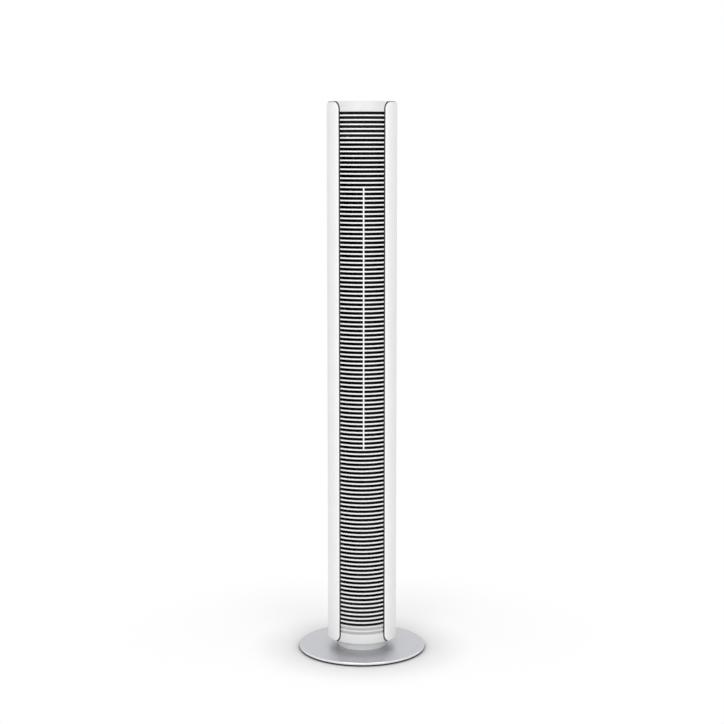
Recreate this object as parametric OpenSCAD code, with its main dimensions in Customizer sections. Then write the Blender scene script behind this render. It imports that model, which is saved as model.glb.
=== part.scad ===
// Slim tower fan on a round plate: a swivelling column with a wall of thin slats in front and behind,
// two smooth side panels, a long drum impeller inside and a row of push buttons on top.
// Front is -Y, up is +Z, and the origin is the centre of the base on the floor.

/* [Base] */
// Diameter of the base plate
base_d = 252; // [220:1:300]
// Thickness of the base plate
plate_t = 4.5; // [3.5:0.5:8]
// Bevel round the base plate's upper edge
plate_bevel = 0.8; // [0.4:0.1:1.5]
// Thickness of the rubber foot ring
foot_t = 3; // [2:0.5:5]
// Width of the rubber foot ring
foot_w = 12; // [8:1:20]
// Distance from the plate's edge in to the foot ring
foot_inset = 2; // [1:0.5:6]
// Diameter of the fixed neck
neck_d = 98; // [96:1:104]
// Height of the fixed neck above the base plate
neck_h = 16.5; // [16:0.5:20]
// Wall of the neck
neck_wall = 2.5; // [2:0.1:2.6]
// Floor of the neck
neck_floor_t = 3; // [2.5:0.1:3.2]
// Width of the neck's top rim, which carries the slide ring
neck_rim_w = 8; // [7:0.5:8.5]
// Thickness of the neck's top rim
neck_rim_t = 2.2; // [1.6:0.1:2.4]

/* [Swivel] */
// Outer diameter of the pivot tube
pivot_d = 20; // [18:0.5:21]
// Wall of the pivot tube
pivot_wall = 2.5; // [2:0.1:4]
// Width of the pivot tube's foot flange beyond the tube
pivot_flange_w = 7.5; // [7:0.1:8]
// Thickness of the pivot tube's foot flange
pivot_flange_t = 3; // [2.5:0.1:4]
// Gear module of the swing drive
gear_module = 1.25; // [1.2:0.01:1.3]
// Teeth on the fixed swing gear
sun_teeth = 36; // [36:1:37]
// Teeth on the swing pinion
pinion_teeth = 12; // [11:1:13]
// Thickness of the swing gear's web under the pivot flange
gear_web_t = 2; // [1.5:0.1:2.5]
// Height of the swing gear's teeth
sun_h = 9.5; // [8.5:0.1:10]
// Height of the pinion
pinion_h = 7; // [5:0.5:7.5]
// Wall of the pivot bush
bush_wall = 3; // [2:0.1:3.5]
// Thickness of the pivot bush's flange
bush_flange_t = 1.5; // [1:0.1:2]
// Width of the slide ring on the neck's rim
slide_ring_w = 6; // [4:0.5:6.5]
// Thickness of the retaining washer
keeper_t = 1.5; // [1:0.1:2]

/* [Column] */
// Diameter across the side panels
column_d = 137; // [134:0.5:144]
// Thickness of the side panels
panel_t = 3; // [2.4:0.1:3.4]
// Gap between the side panels and the drum of slats behind them
panel_gap = 0.5; // [0.3:0.1:0.8]
// Half angle of the open front and rear windows
window_half = 42.6; // [40:0.1:44]
// Gap between the fixed neck and the swivelling column
column_gap = 1; // [0.6:0.1:2]
// Height of the closed skirt under the slats
skirt_h = 36.4; // [36:0.1:44]
// Wall of the skirt
skirt_wall = 3; // [2.8:0.1:3.2]
// Radius of the panels' rounded corners
panel_corner = 14; // [8:0.5:17]
// Drop from the cap's top to the panels' top edge
panel_drop = 1.4; // [0.8:0.1:3]
// Bevel along the panels' top and bottom edges
panel_bevel = 1.2; // [0.6:0.1:1.6]
// Height of the top cap
cap_h = 19.9; // [19:0.1:24]
// Wall of the top cap
cap_wall = 2.5; // [2:0.1:2.8]
// Bevel round the top cap's upper edge
cap_bevel = 0.9; // [0.4:0.1:1.4]

/* [Slats] */
// Number of open slats, one above the other
slat_count = 118; // [90:1:122]
// Distance from one slat to the next
slat_pitch = 8.5; // [8:0.1:9]
// Height of one slat
slat_t = 2.8; // [1.8:0.1:3.4]
// Depth of one slat
slat_depth = 2.6; // [2.2:0.1:2.8]
// Closed steps on the skirt, at the pitch of the slats
step_count = 2; // [1:1:3]
// How far the wall falls back between two closed steps
step_depth = 1.8; // [0.8:0.1:1.9]
// Width of the thin upright rib that ties the front slats
rib_w = 2.6; // [1.6:0.1:4]
// Sideways offset of the upright rib
rib_offset = 3.2; // [-10:0.1:10]
// Slats below the cap before the rib starts
rib_first = 16; // [4:1:30]
// Slats that the rib crosses
rib_span = 60; // [10:1:70]

/* [Duct] */
// Thickness of the duct's end plates and decks
deck_t = 3; // [2.4:0.1:3.4]
// Thickness of the duct walls
duct_wall = 2; // [1.6:0.1:2.4]
// Height of the motor bay between its floor and the duct
motor_bay_h = 41; // [41:0.5:50]
// Height of the control bay between the duct and its deck
control_bay_h = 41.7; // [30:0.1:60]
// Gap between impeller and scroll wall where the scroll starts
scroll_gap_start = 4; // [3.4:0.1:4.6]
// Gap between impeller and scroll wall where the outlet starts
scroll_gap_end = 13; // [12.6:0.1:13.2]
// Radius of the duct's tongue
tongue_r = 2.5; // [2.2:0.1:2.8]

/* [Impeller] */
// Diameter of the impeller
impeller_d = 80; // [78:0.5:80.5]
// How far the impeller stands behind the column's axis
impeller_back = 8; // [7.6:0.1:8.4]
// Number of blades
blade_count = 28; // [16:1:36]
// Thickness of a blade
blade_t = 1.2; // [0.8:0.1:1.6]
// Radial depth of a blade
blade_depth = 9; // [7:0.1:10]
// Thickness of the impeller's end plates
end_plate_t = 3; // [2:0.1:4]
// Thickness of the impeller's stiffening rings
ring_t = 2; // [1.4:0.1:3]
// Number of stiffening rings between the end plates
ring_count = 8; // [4:1:12]
// Gap between the impeller's end plates and the duct's end plates
end_gap = 4; // [3.2:0.1:6]

/* [Motor] */
// Diameter of the drive shaft
shaft_d = 8; // [6:0.5:8.5]
// Outer diameter of the rotor cup
rotor_d = 65; // [64:0.5:68]
// Height of the rotor cup
rotor_h = 27; // [26:0.5:28]
// Wall of the rotor cup
rotor_wall = 2.4; // [2:0.1:2.6]
// Thickness of the magnet ring
magnet_t = 3; // [2.5:0.1:3.2]
// Number of stator poles
pole_count = 9; // [6:1:9]
// Height of the stator stack
stack_h = 14; // [10:0.5:15]
// Thickness of the rubber dampers under the motor
damper_t = 3; // [2:0.1:3.5]
// Diameter of the swing motor
swing_motor_d = 28; // [24:0.5:29]
// Height of the swing motor
swing_motor_h = 19; // [14:0.5:21]

/* [Controls] */
// Number of push buttons
button_count = 5; // [5:1:5]
// Diameter of a push button
button_d = 13; // [9:0.5:14]
// Distance from one button to the next
button_pitch = 17; // [16.5:0.1:17.4]
// How far the row of buttons stands in front of the axis
button_front = 14; // [10:0.5:16]
// Travel of a push button
button_travel = 0.8; // [0.4:0.1:1]
// Diameter of the indicator light guides
guide_d = 2.4; // [1.6:0.1:3]
// Distance from the buttons to the light guides
guide_front = 12; // [11:0.5:12.5]
// Diameter of the cord gland's bore
gland_bore_d = 6.6; // [5:0.1:6.8]
// Diameter of the wiring loom
loom_d = 4; // [3:0.1:4.4]

/* [Fasteners and fits] */
// Diameter of the case screws
screw_d = 3; // [2.5:0.1:3.2]
// Length of the case screws under the head
screw_l = 8; // [7:0.5:8]
// Clearance of a screw in its hole
screw_clear = 0.1; // [0.05:0.01:0.2]
// Radial clearance of a shaft in its bearing
run_clear = 0.05; // [0.02:0.01:0.1]
// Gap between pieces that lie side by side
seat_gap = 0.3; // [0.2:0.05:0.4]

/* [Hidden] */
$fn = 96;

// Overrun of every cut past the surface that it opens
over = 1;
// Angle of the front direction in plan
front = -90;

// Colours
white = [0.93, 0.93, 0.93];
shade_white = [0.88, 0.88, 0.89];
plate_grey = [0.79, 0.79, 0.82];
black = [0.04, 0.04, 0.045];
dark = [0.16, 0.16, 0.17];
steel = [0.72, 0.73, 0.75];
zinc = [0.80, 0.80, 0.78];
bronze = [0.72, 0.53, 0.30];
copper = [0.80, 0.45, 0.22];
board_green = [0.10, 0.36, 0.20];
acetal = [0.90, 0.89, 0.85];
lens = [0.85, 0.93, 0.98];

// Heights of the base
z_plate = foot_t;
z_neck = z_plate + plate_t;
z_neck_floor = z_neck + neck_floor_t;
z_neck_top = z_neck + neck_h;
base_r = base_d / 2;
neck_r = neck_d / 2;

// Heights of the column, from the skirt up to the cap
z_col = z_neck_top + column_gap;
skirt_flange_t = 2;
z_floor = z_col + skirt_flange_t;
floor_t = 4;
z_floor_top = z_floor + floor_t;
z_skirt_top = z_col + skirt_h;
z_slat_0 = z_skirt_top + slat_pitch - slat_t / 2;
z_cap = z_slat_0 + slat_count * slat_pitch - slat_t / 2;
z_top = z_cap + cap_h;
z_motor_floor = z_skirt_top;
z_motor_bay = z_motor_floor + deck_t;
z_duct_floor = z_motor_bay + motor_bay_h;
z_duct = z_duct_floor + deck_t;
z_deck = z_cap - deck_t;
z_control_bay = z_deck - control_bay_h;
z_duct_roof = z_control_bay - deck_t;
z_impeller = z_duct + end_gap;
z_impeller_top = z_duct_roof - end_gap;

// Radii of the column, from outside in
column_r = column_d / 2;
panel_in_r = column_r - panel_t;
drum_r = panel_in_r - panel_gap;
slat_in_r = drum_r - slat_depth;
skirt_in_r = drum_r - skirt_wall;
rail_out_r = drum_r - seat_gap / 2;
rail_in_r = skirt_in_r;
deck_r = rail_in_r - 2 * seat_gap;
bay_wall = 2;
bay_step = 1.1;
bay_out_r = deck_r - bay_step;
bay_in_r = bay_out_r - bay_wall;

// Swivel
pivot_r = pivot_d / 2;
sun_r = gear_module * sun_teeth / 2;
pinion_r = gear_module * pinion_teeth / 2;
gear_slack = 0.15;
pinion_reach = sun_r + pinion_r + gear_slack;
swing_shaft_d = 5;
bush_r = pivot_r + run_clear + bush_wall;
hub_wall = 4;
hub_r = bush_r + hub_wall;
hub_drop = 4;
hub_rise = 8;
z_hub = z_floor - hub_drop;
z_hub_top = z_floor_top + hub_rise;
z_keeper = z_hub_top + bush_flange_t + seat_gap;
clip_t = 1.2;
clip_groove = 0.7;
clip_w = 3;
clip_gap = 5;
pivot_nose = 3;
z_pivot_top = z_keeper + keeper_t + clip_t + pivot_nose;

// Fasteners
screw_r = screw_d / 2;
screw_hole_r = screw_r + screw_clear;
screw_head_r = 0.9 * screw_d;
screw_head_t = 0.6 * screw_d;
boss_wall = 2;
boss_r = screw_r + boss_wall;
pivot_screw_d = 4;
pivot_screw_r = pivot_screw_d / 2;
pivot_screw_pcr = pivot_r + pivot_flange_w / 2;
pivot_screw_count = 4;
neck_screw_count = 3;
neck_boss_h = 4;
neck_screw_pcr = neck_r - neck_wall - boss_r;

// Screw places in plan
post_shares = [0.76, 0.45];
post_at = skirt_in_r * post_shares;
post_r = 4;
skirt_screw_angle = 20;
skirt_screw_pcr = skirt_in_r - boss_r - 4 * seat_gap;
skirt_boss_h = 2;
skirt_flange_w = 9;
bay_screw_angles = [30, 165, 195, 330];
bay_screw_pcr = bay_in_r - boss_r + 2 * screw_clear;
bay_boss_h = 10;
cap_screw_angles = [45, 135, 225, 315];
cap_screw_pcr = bay_in_r - screw_head_r - 2 * screw_clear;
cap_boss_h = 10;
cap_flange_t = 2;
cap_flange_in_r = cap_screw_pcr - boss_r;

// Duct, drawn round the impeller's axis with angles from the rear towards the right
impeller_r = impeller_d / 2;
scroll_from = 35;
scroll_to = 125;
scroll_steps = 12;
outlet_half = (impeller_r + scroll_gap_end) * sin(scroll_to);
wall_end_gap = 2.5;
wall_end_r = rail_in_r - wall_end_gap;
outlet_y = -sqrt(pow(wall_end_r, 2) - pow(outlet_half + duct_wall, 2));
scroll_web_angle = 48;
side_web_angle = 116;
side_web_share = 0.23;
side_web_y = -side_web_share * drum_r;
duct_boss_h = 14;
duct_boss_inset = boss_r - duct_wall / 4;
tongue_y = side_web_y + duct_wall / 2;
outlet_boss_share = 0.37;
side_boss_share = 0.8;
duct_bosses = [
  [impeller_r + scroll_gap_start + (scroll_gap_end - scroll_gap_start) * (90 - scroll_from)
    / (scroll_to - scroll_from) + duct_wall + duct_boss_inset, impeller_back],
  [outlet_half + duct_wall + duct_boss_inset, -outlet_boss_share * drum_r],
  [-outlet_half - duct_wall - duct_boss_inset, -outlet_boss_share * drum_r],
  [-side_boss_share * drum_r, side_web_y + duct_wall / 2 + duct_boss_inset]
];
loom_shares = [-0.8, 0.24];
loom_at = bay_in_r * loom_shares;
loom_clear = 0.5;
loom_hole_r = loom_d / 2 + loom_clear;

// Grille rails and the panel hooks that hold them
slat_half = window_half - 0.7;
rail_from = window_half + 3.1;
rail_to = rail_from + 4.8;
slat_tongue_set = 0.2;
slat_tongue_t = 1.2;
tongue_in_r = slat_in_r + slat_tongue_set;
tongue_out_r = tongue_in_r + slat_tongue_t;
hook_t = 1.8;
hook_h = 12;
hook_count = 5;
hook_from = rail_to - 2.5;
hook_to = rail_to + 2.5;
hook_rib_from = rail_to + 0.5;

// Motor
motor_screw_d = 4;
motor_screw_count = 3;
motor_screw_pcr = 28;
motor_flange_t = 3;
motor_flange_rim = 6;
motor_flange_r = motor_screw_pcr + motor_flange_rim;
z_motor = z_motor_bay + damper_t;
z_motor_top = z_motor + motor_flange_t;
bearing_r = 11;
bearing_h = 7;
bearing_tube_wall = 2.5;
bearing_tube_r = bearing_r + bearing_tube_wall;
bearing_tube_h = 22.5;
rotor_r = rotor_d / 2;
rotor_lift = 4.6;
z_rotor = z_motor_top + rotor_lift;
rotor_top_t = 2;
rotor_hub_r = 8;
rotor_hub_h = 9;
magnet_h = 18;
magnet_out_r = rotor_r - rotor_wall - run_clear;
magnet_in_r = magnet_out_r - magnet_t;
air_gap = 1;
stator_r = magnet_in_r - air_gap;
stack_lift = 3;
z_stack = z_rotor + stack_lift;
stator_yoke = 2.5;
tooth_w = 4;
shoe_t = 2;
coil_w = 2;
coil_over = 1.5;
shaft_r = shaft_d / 2;
hub_barrel_r = 9;
hub_clear = 1;
hub_flange_r = 14;
hub_flange_t = 2;
hub_barrel_h = 18;
set_screw_d = 4;
axle_r = 3;
axle_flange_r = 12;
axle_flange_t = 2;
axle_h = 20;
sleeve_r = 7;
sleeve_h = 7;
holder_r = 12;
holder_h = 8.6;
holder_cup_wall = 2.4;

// Swing motor
ear_boss_h = 4;
z_swing_motor = z_floor_top + ear_boss_h;
swing_motor_shift = 8;
ear_t = 1;
ear_w = 7;
ear_reach = (swing_motor_d + ear_w) / 2;

// Boards
board_t = 1.6;
power_x_shares = [-0.84, -0.355];
power_y_shares = [-0.29, 0.355];
power_x = skirt_in_r * power_x_shares;
power_y = skirt_in_r * power_y_shares;
power_standoff_h = 5;
power_standoff_r = 2.5;
z_power = z_floor_top + power_standoff_h;
control_board_gap = 1;
control_board_r = cap_flange_in_r - control_board_gap;
control_pillar_h = 6.9;
z_control = z_cap + control_pillar_h;
pillar_shares = [[-0.59, 0.49], [0.59, 0.49], [-0.3, -0.72], [0.3, -0.72]];
control_pillars = control_board_r * pillar_shares;
pillar_r = 3;
pillar_pin_r = 1.4;

// Buttons
button_r = button_d / 2;
button_gap = 0.2;
button_flange_w = 1.5;
button_flange_t = 1.6;
button_stem_r = 2.5;
z_cap_under = z_top - cap_wall;
z_button_flange = z_cap_under - button_gap - button_flange_t;
switch_size = 6;
switch_h = 3.4;
plunger_r = 1.75;
plunger_drop = 3;
z_plunger = z_button_flange - plunger_drop;
z_button_stem = z_plunger + button_travel + button_gap;
led_size = 2;
led_h = 1.2;

// Cord gland at the rear of the skirt
gland_wall = 1.3;
gland_r = gland_bore_d / 2 + gland_wall;
gland_lift = 0.9;
gland_lip = 0.6;
gland_z = z_floor_top + gland_r + gland_lift;
gland_flange_r = gland_r + gland_lip;
gland_flange_t = 2.5;
gland_inner_l = 9;
gland_nut_t = 3;
gland_nut_w = 0.7;
gland_nut_r = gland_r + gland_nut_w;

// Ring from one angle to another, angles from the front direction, seen from above
module ring_sector(in_r, out_r, z, h, from, to) {
  rotate([0, 0, front + from])
    rotate_extrude(angle = to - from)
      translate([in_r, z])
        square([out_r - in_r, h]);
}

// Plain ring
module ring(in_r, out_r, z, h) {
  translate([0, 0, z])
    difference() {
      cylinder(r = out_r, h = h);
      translate([0, 0, -over])
        cylinder(r = in_r, h = h + 2 * over);
    }
}

// Upright cylinder at a place in plan
module pin(at, r, z, h) {
  translate([at[0], at[1], z])
    cylinder(r = r, h = h);
}

// Upright hole through a layer
module hole(at, r, z, h) {
  pin(at, r, z - over, h + 2 * over);
}

// Point at an angle from the front direction
function around(r, a) = [r * sin(a), -r * cos(a)];

// Point round the impeller's axis, at an angle from the rear towards the right
function about_impeller(r, a) = [r * sin(a), impeller_back + r * cos(a)];

// Pan-head screw with its head's seat at z, pointing down when dir is -1 and up when dir is 1
module screw(at, z, dir, d, l) {
  translate([at[0], at[1], z])
    rotate([dir < 0 ? 180 : 0, 0, 0])
      union() {
        translate([0, 0, -0.3 * d])
          cylinder(d = d, h = l + 0.3 * d);
        translate([0, 0, -0.6 * d])
          cylinder(r = 0.9 * d, h = 0.6 * d);
      }
}

// Half the angle that a gear tooth fills at a radius, with involute flanks at 20 degrees
function involute(a) = tan(a) * 180 / PI - a;
function flank_half(r, pitch_r, teeth, slack) =
  let (base = pitch_r * cos(20))
  90 / teeth + involute(20) - (r > base ? involute(acos(base / r)) : 0) - slack / pitch_r * 90 / PI;

// Spur gear outline with shortened tips
module gear_outline(teeth, slack) {
  pitch_r = gear_module * teeth / 2;
  root_r = pitch_r - 1.2 * gear_module;
  tip_r = pitch_r + 0.85 * gear_module;
  shares = [0, 0.3, 0.55, 0.8, 1];
  polygon([
    for (i = [0 : teeth - 1])
      for (side = [-1, 1])
        for (j = [0 : len(shares) - 1])
          let (share = side < 0 ? shares[j] : shares[len(shares) - 1 - j])
          let (r = root_r + share * (tip_r - root_r))
          let (a = i * 360 / teeth + side * flank_half(r, pitch_r, teeth, slack))
          [r * cos(a), r * sin(a)]
  ]);
}

// Round steel plate that weighs the fan down
module base_plate() {
  color(plate_grey)
    difference() {
      rotate_extrude()
        polygon([
          [0, z_plate],
          [base_r - plate_bevel / 2, z_plate],
          [base_r, z_plate + plate_bevel / 2],
          [base_r, z_neck - plate_bevel],
          [base_r - plate_bevel, z_neck],
          [0, z_neck]
        ]);
      for (i = [0 : pivot_screw_count - 1])
        countersunk_hole(around(pivot_screw_pcr, 45 + i * 360 / pivot_screw_count), pivot_screw_r);
      for (i = [1 : neck_screw_count])
        countersunk_hole(around(neck_screw_pcr, i * 90), screw_r);
    }
}

// Countersunk hole through the base plate, open downwards
module countersunk_hole(at, r) {
  hole(at, r + screw_clear, z_plate, plate_t);
  translate([at[0], at[1], z_plate - screw_clear])
    cylinder(r1 = 2 * r + 2 * screw_clear, r2 = r + screw_clear, h = r + screw_clear);
}

// Countersunk screw from below, with its head flush in the base plate
module countersunk_screw(at, r, l) {
  translate([at[0], at[1], z_plate])
    union() {
      cylinder(r1 = 2 * r, r2 = r, h = r);
      cylinder(r = r, h = l);
    }
}

// Rubber ring that the base stands on
module foot_ring() {
  color(black)
    ring(base_r - foot_inset - foot_w, base_r - foot_inset, 0, foot_t);
}

// Fixed round neck between the plate and the swivelling column
module neck_housing() {
  rim_in_r = neck_r - neck_rim_w;
  color(shade_white)
    difference() {
      union() {
        rotate_extrude()
          polygon([
            [0, z_neck],
            [neck_r, z_neck],
            [neck_r, z_neck_top - neck_wall / 3],
            [neck_r - neck_wall / 3, z_neck_top],
            [rim_in_r, z_neck_top],
            [rim_in_r, z_neck_top - neck_rim_t],
            [neck_r - neck_wall, z_neck_top - neck_rim_t - neck_rim_w / 4],
            [neck_r - neck_wall, z_neck_floor],
            [0, z_neck_floor]
          ]);
        for (i = [1 : neck_screw_count])
          pin(around(neck_screw_pcr, i * 90), boss_r + screw_clear, z_neck_floor - over / 2,
            neck_boss_h + over / 2);
      }
      for (i = [1 : neck_screw_count])
        hole(around(neck_screw_pcr, i * 90), screw_hole_r, z_neck, neck_floor_t + neck_boss_h);
      for (i = [0 : pivot_screw_count - 1])
        hole(around(pivot_screw_pcr, 45 + i * 360 / pivot_screw_count), pivot_screw_r + screw_clear,
          z_neck, neck_floor_t);
    }
}

// Screws from below that hold the neck's wall down
module neck_screws() {
  color(zinc)
    for (i = [1 : neck_screw_count])
      countersunk_screw(around(neck_screw_pcr, i * 90), screw_r, plate_t + neck_floor_t + neck_boss_h / 2);
}

// Steel tube that the column turns on, with its foot flange and a groove for the retaining ring
module pivot_tube() {
  z_flange = z_neck_floor + gear_web_t;
  color(steel)
    difference() {
      union() {
        pin([0, 0], pivot_r, z_flange, z_pivot_top - z_flange);
        pin([0, 0], pivot_r + pivot_flange_w, z_flange, pivot_flange_t);
      }
      hole([0, 0], pivot_r - pivot_wall, z_flange, z_pivot_top - z_flange);
      ring(pivot_r - clip_groove, pivot_r + over, z_keeper + keeper_t, clip_t + screw_clear);
      for (i = [0 : pivot_screw_count - 1])
        hole(around(pivot_screw_pcr, 45 + i * 360 / pivot_screw_count), pivot_screw_r + screw_clear,
          z_flange, pivot_flange_t);
    }
}

// Screws from below that clamp plate, neck and gear web to the pivot tube
module pivot_screws() {
  color(zinc)
    for (i = [0 : pivot_screw_count - 1])
      countersunk_screw(around(pivot_screw_pcr, 45 + i * 360 / pivot_screw_count), pivot_screw_r,
        plate_t + neck_floor_t + gear_web_t + pivot_flange_t);
}

// Fixed gear that the swing pinion walks round
module swing_gear() {
  recess_r = pivot_r + pivot_flange_w + screw_clear;
  color(acetal)
    difference() {
      translate([0, 0, z_neck_floor])
        linear_extrude(sun_h)
          rotate(front)
            gear_outline(sun_teeth, gear_slack);
      translate([0, 0, z_neck_floor + gear_web_t])
        cylinder(r = recess_r, h = sun_h);
      for (i = [0 : pivot_screw_count - 1])
        hole(around(pivot_screw_pcr, 45 + i * 360 / pivot_screw_count), pivot_screw_r + screw_clear,
          z_neck_floor, gear_web_t);
    }
}

// Slippery ring on the neck's rim that carries the column's floor
module slide_ring() {
  out_r = neck_r - neck_wall / 2;
  color(acetal)
    ring(out_r - slide_ring_w, out_r, z_neck_top, z_floor - z_neck_top - seat_gap);
}

// Washer above the pivot bush
module retaining_washer() {
  color(steel)
    ring(pivot_r + screw_clear, hub_r - screw_clear, z_keeper, keeper_t);
}

// Split spring ring that snaps into the pivot tube's groove
module retaining_ring() {
  color(steel)
    difference() {
      ring(pivot_r - clip_groove + screw_clear, pivot_r + clip_w, z_keeper + keeper_t, clip_t);
      translate([0, -clip_gap / 2, z_keeper + keeper_t - over])
        cube([pivot_r + clip_w + over, clip_gap, clip_t + 2 * over]);
    }
}

// Closed skirt under the slats: a plain band with solid steps at the slats' pitch above it
module bottom_skirt() {
  z_step = [for (i = [0 : step_count - 1]) z_skirt_top - i * slat_pitch];
  color(white)
    difference() {
      rotate_extrude()
        polygon(concat(
          [
            [skirt_in_r - skirt_flange_w, z_col],
            [drum_r - skirt_wall / 3, z_col],
            [drum_r, z_col + skirt_wall / 3]
          ],
          [
            for (i = [step_count - 1 : -1 : 0])
              each [
                [drum_r, z_step[i] - slat_pitch],
                [drum_r - step_depth, z_step[i] - slat_pitch],
                [drum_r - step_depth / 4, z_step[i] - slat_t],
                [drum_r, z_step[i] - slat_t]
              ]
          ],
          [
            [drum_r, z_skirt_top],
            [skirt_in_r, z_skirt_top],
            [skirt_in_r, z_floor],
            [skirt_in_r - skirt_flange_w, z_floor]
          ]
        ));
      for (a = [skirt_screw_angle, 180 - skirt_screw_angle, 180 + skirt_screw_angle, -skirt_screw_angle])
        hole(around(skirt_screw_pcr, a), screw_hole_r, z_col, skirt_flange_t);
      translate([0, skirt_in_r - over, gland_z])
        rotate([-90, 0, 0])
          cylinder(r = gland_r + screw_clear, h = skirt_wall + 3 * over);
    }
}

// Structural floor of the column, with the hub of the pivot, four posts and small bosses
module column_floor() {
  color(dark)
    difference() {
      union() {
        pin([0, 0], skirt_in_r - seat_gap, z_floor, floor_t);
        pin([0, 0], hub_r, z_hub, z_hub_top - z_hub);
        for (sx = [-1, 1])
          for (sy = [-1, 1])
            pin([sx * post_at[0], sy * post_at[1]], post_r, z_floor + floor_t / 2,
              z_motor_floor - z_floor - floor_t / 2);
        for (a = [skirt_screw_angle, 180 - skirt_screw_angle, 180 + skirt_screw_angle, -skirt_screw_angle])
          pin(around(skirt_screw_pcr, a), boss_r, z_floor + floor_t / 2, floor_t / 2 + skirt_boss_h);
        for (sx = [-1, 1])
          pin([sx * ear_reach, -pinion_reach - swing_motor_shift], boss_r, z_floor + floor_t / 2,
            z_swing_motor - z_floor - floor_t / 2);
        for (x = power_x)
          for (y = power_y)
            pin(power_corner(x, y), power_standoff_r, z_floor + floor_t / 2,
              z_power - z_floor - floor_t / 2);
      }
      hole([0, 0], bush_r, z_hub, z_hub_top - z_hub);
      hole([0, -pinion_reach], swing_shaft_d, z_floor, floor_t);
      for (sx = [-1, 1])
        for (sy = [-1, 1])
          hole([sx * post_at[0], sy * post_at[1]], screw_hole_r, z_motor_floor - screw_l, screw_l);
      for (a = [skirt_screw_angle, 180 - skirt_screw_angle, 180 + skirt_screw_angle, -skirt_screw_angle])
        hole(around(skirt_screw_pcr, a), screw_hole_r, z_floor, floor_t + skirt_boss_h);
      for (sx = [-1, 1])
        hole([sx * ear_reach, -pinion_reach - swing_motor_shift], screw_hole_r, z_floor,
          z_swing_motor - z_floor);
    }
}

// Standoff place under a corner of the power board
function power_corner(x, y) = [
  x < (power_x[0] + power_x[1]) / 2 ? x + power_standoff_r : x - power_standoff_r,
  y < (power_y[0] + power_y[1]) / 2 ? y + power_standoff_r : y - power_standoff_r
];

// Flanged bush that runs on the pivot tube
module pivot_bush() {
  color(bronze)
    difference() {
      union() {
        pin([0, 0], bush_r, z_hub, z_hub_top + bush_flange_t - z_hub);
        pin([0, 0], hub_r - screw_clear, z_hub_top, bush_flange_t);
      }
      hole([0, 0], pivot_r + run_clear, z_hub, z_hub_top + bush_flange_t - z_hub);
    }
}

// Flat geared stepper that swings the column, with two ears
module swing_motor() {
  centre = [0, -pinion_reach - swing_motor_shift];
  color(zinc)
    difference() {
      union() {
        pin(centre, swing_motor_d / 2, z_swing_motor, swing_motor_h);
        for (sx = [-1, 1])
          pin([sx * ear_reach, centre[1]], ear_w / 2, z_swing_motor, ear_t);
        translate([-ear_reach, centre[1] - ear_w / 2, z_swing_motor])
          cube([2 * ear_reach, ear_w, ear_t]);
        pin([0, -pinion_reach], swing_shaft_d - 2 * seat_gap, z_swing_motor - 2 * ear_t,
          2 * ear_t + swing_motor_h / 2);
      }
      for (sx = [-1, 1])
        hole([sx * ear_reach, centre[1]], screw_hole_r, z_swing_motor, ear_t);
      hole([0, -pinion_reach], swing_shaft_d / 2 + run_clear, z_swing_motor - 2 * ear_t,
        2 * ear_t + swing_motor_h / 2 - over);
    }
}

// Pinion on the swing motor's shaft
module swing_pinion() {
  color(acetal)
    difference() {
      translate([0, -pinion_reach, z_neck_floor + sun_h - pinion_h])
        linear_extrude(pinion_h)
          rotate(-front + 180 / pinion_teeth)
            gear_outline(pinion_teeth, gear_slack);
      hole([0, -pinion_reach], swing_shaft_d / 2 + run_clear, z_neck_floor + sun_h - pinion_h, pinion_h);
    }
}

// Output shaft of the swing motor
module swing_shaft() {
  z = z_neck_floor + sun_h - pinion_h;
  color(steel)
    pin([0, -pinion_reach], swing_shaft_d / 2, z, z_swing_motor + swing_motor_h / 3 - z);
}

// Bushing in the rear of the skirt, for the mains cord
module cord_gland() {
  l = gland_inner_l + gland_flange_t;
  color(dark)
    translate([0, drum_r + gland_flange_t, gland_z])
      rotate([90, 0, 0])
        difference() {
          union() {
            cylinder(r = gland_flange_r, h = gland_flange_t);
            cylinder(r = gland_r, h = l);
          }
          translate([0, 0, -over])
            cylinder(d = gland_bore_d, h = l + 2 * over);
        }
}

// Round nut that holds the gland from inside
module gland_nut() {
  color(dark)
    translate([0, skirt_in_r - 2 * seat_gap, gland_z])
      rotate([90, 0, 0])
        difference() {
          cylinder(r = gland_nut_r, h = gland_nut_t);
          translate([0, 0, -over])
            cylinder(r = gland_r + run_clear, h = gland_nut_t + 2 * over);
        }
}

// Power supply board on four standoffs
module power_board() {
  color(board_green)
    translate([power_x[0], power_y[0], z_power])
      cube([power_x[1] - power_x[0], power_y[1] - power_y[0], board_t]);
}

// Two-pole screw terminal for the mains cord's wires
module terminal_block() {
  size = [12, 10, 11];
  wire_d = 3;
  at = [power_x[1] - size[0] - board_t, power_y[1] - size[1] - board_t];
  color([0.15, 0.45, 0.55])
    difference() {
      translate([at[0], at[1], z_power + board_t])
        cube(size);
      for (share = [0.27, 0.73])
        translate([at[0] + share * size[0], at[1] + size[1] + over, z_power + board_t + size[2] / 3])
          rotate([90, 0, 0])
            cylinder(d = wire_d, h = size[1] / 2 + over);
    }
}

// Round capacitor that stands on the power board
module filter_capacitor() {
  r = 7;
  h = 18;
  color([0.12, 0.14, 0.30])
    pin([power_x[1] - r - board_t, power_y[0] + r + board_t], r, z_power + board_t, h);
}

// Sleeved wires from the power board up to the control board, with a plug at each end
module wire_loom() {
  plug = [8, 5, 5];
  plug_out = 2.5;
  z_low = z_power + board_t;
  color(black)
    union() {
      pin(loom_at, loom_d / 2, z_low + plug[2] / 2, z_control - z_low - plug[2]);
      for (z = [z_low, z_control - plug[2]])
        translate([loom_at[0] - plug_out, loom_at[1] - plug[1] / 2, z])
          cube(plug);
    }
}

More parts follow.
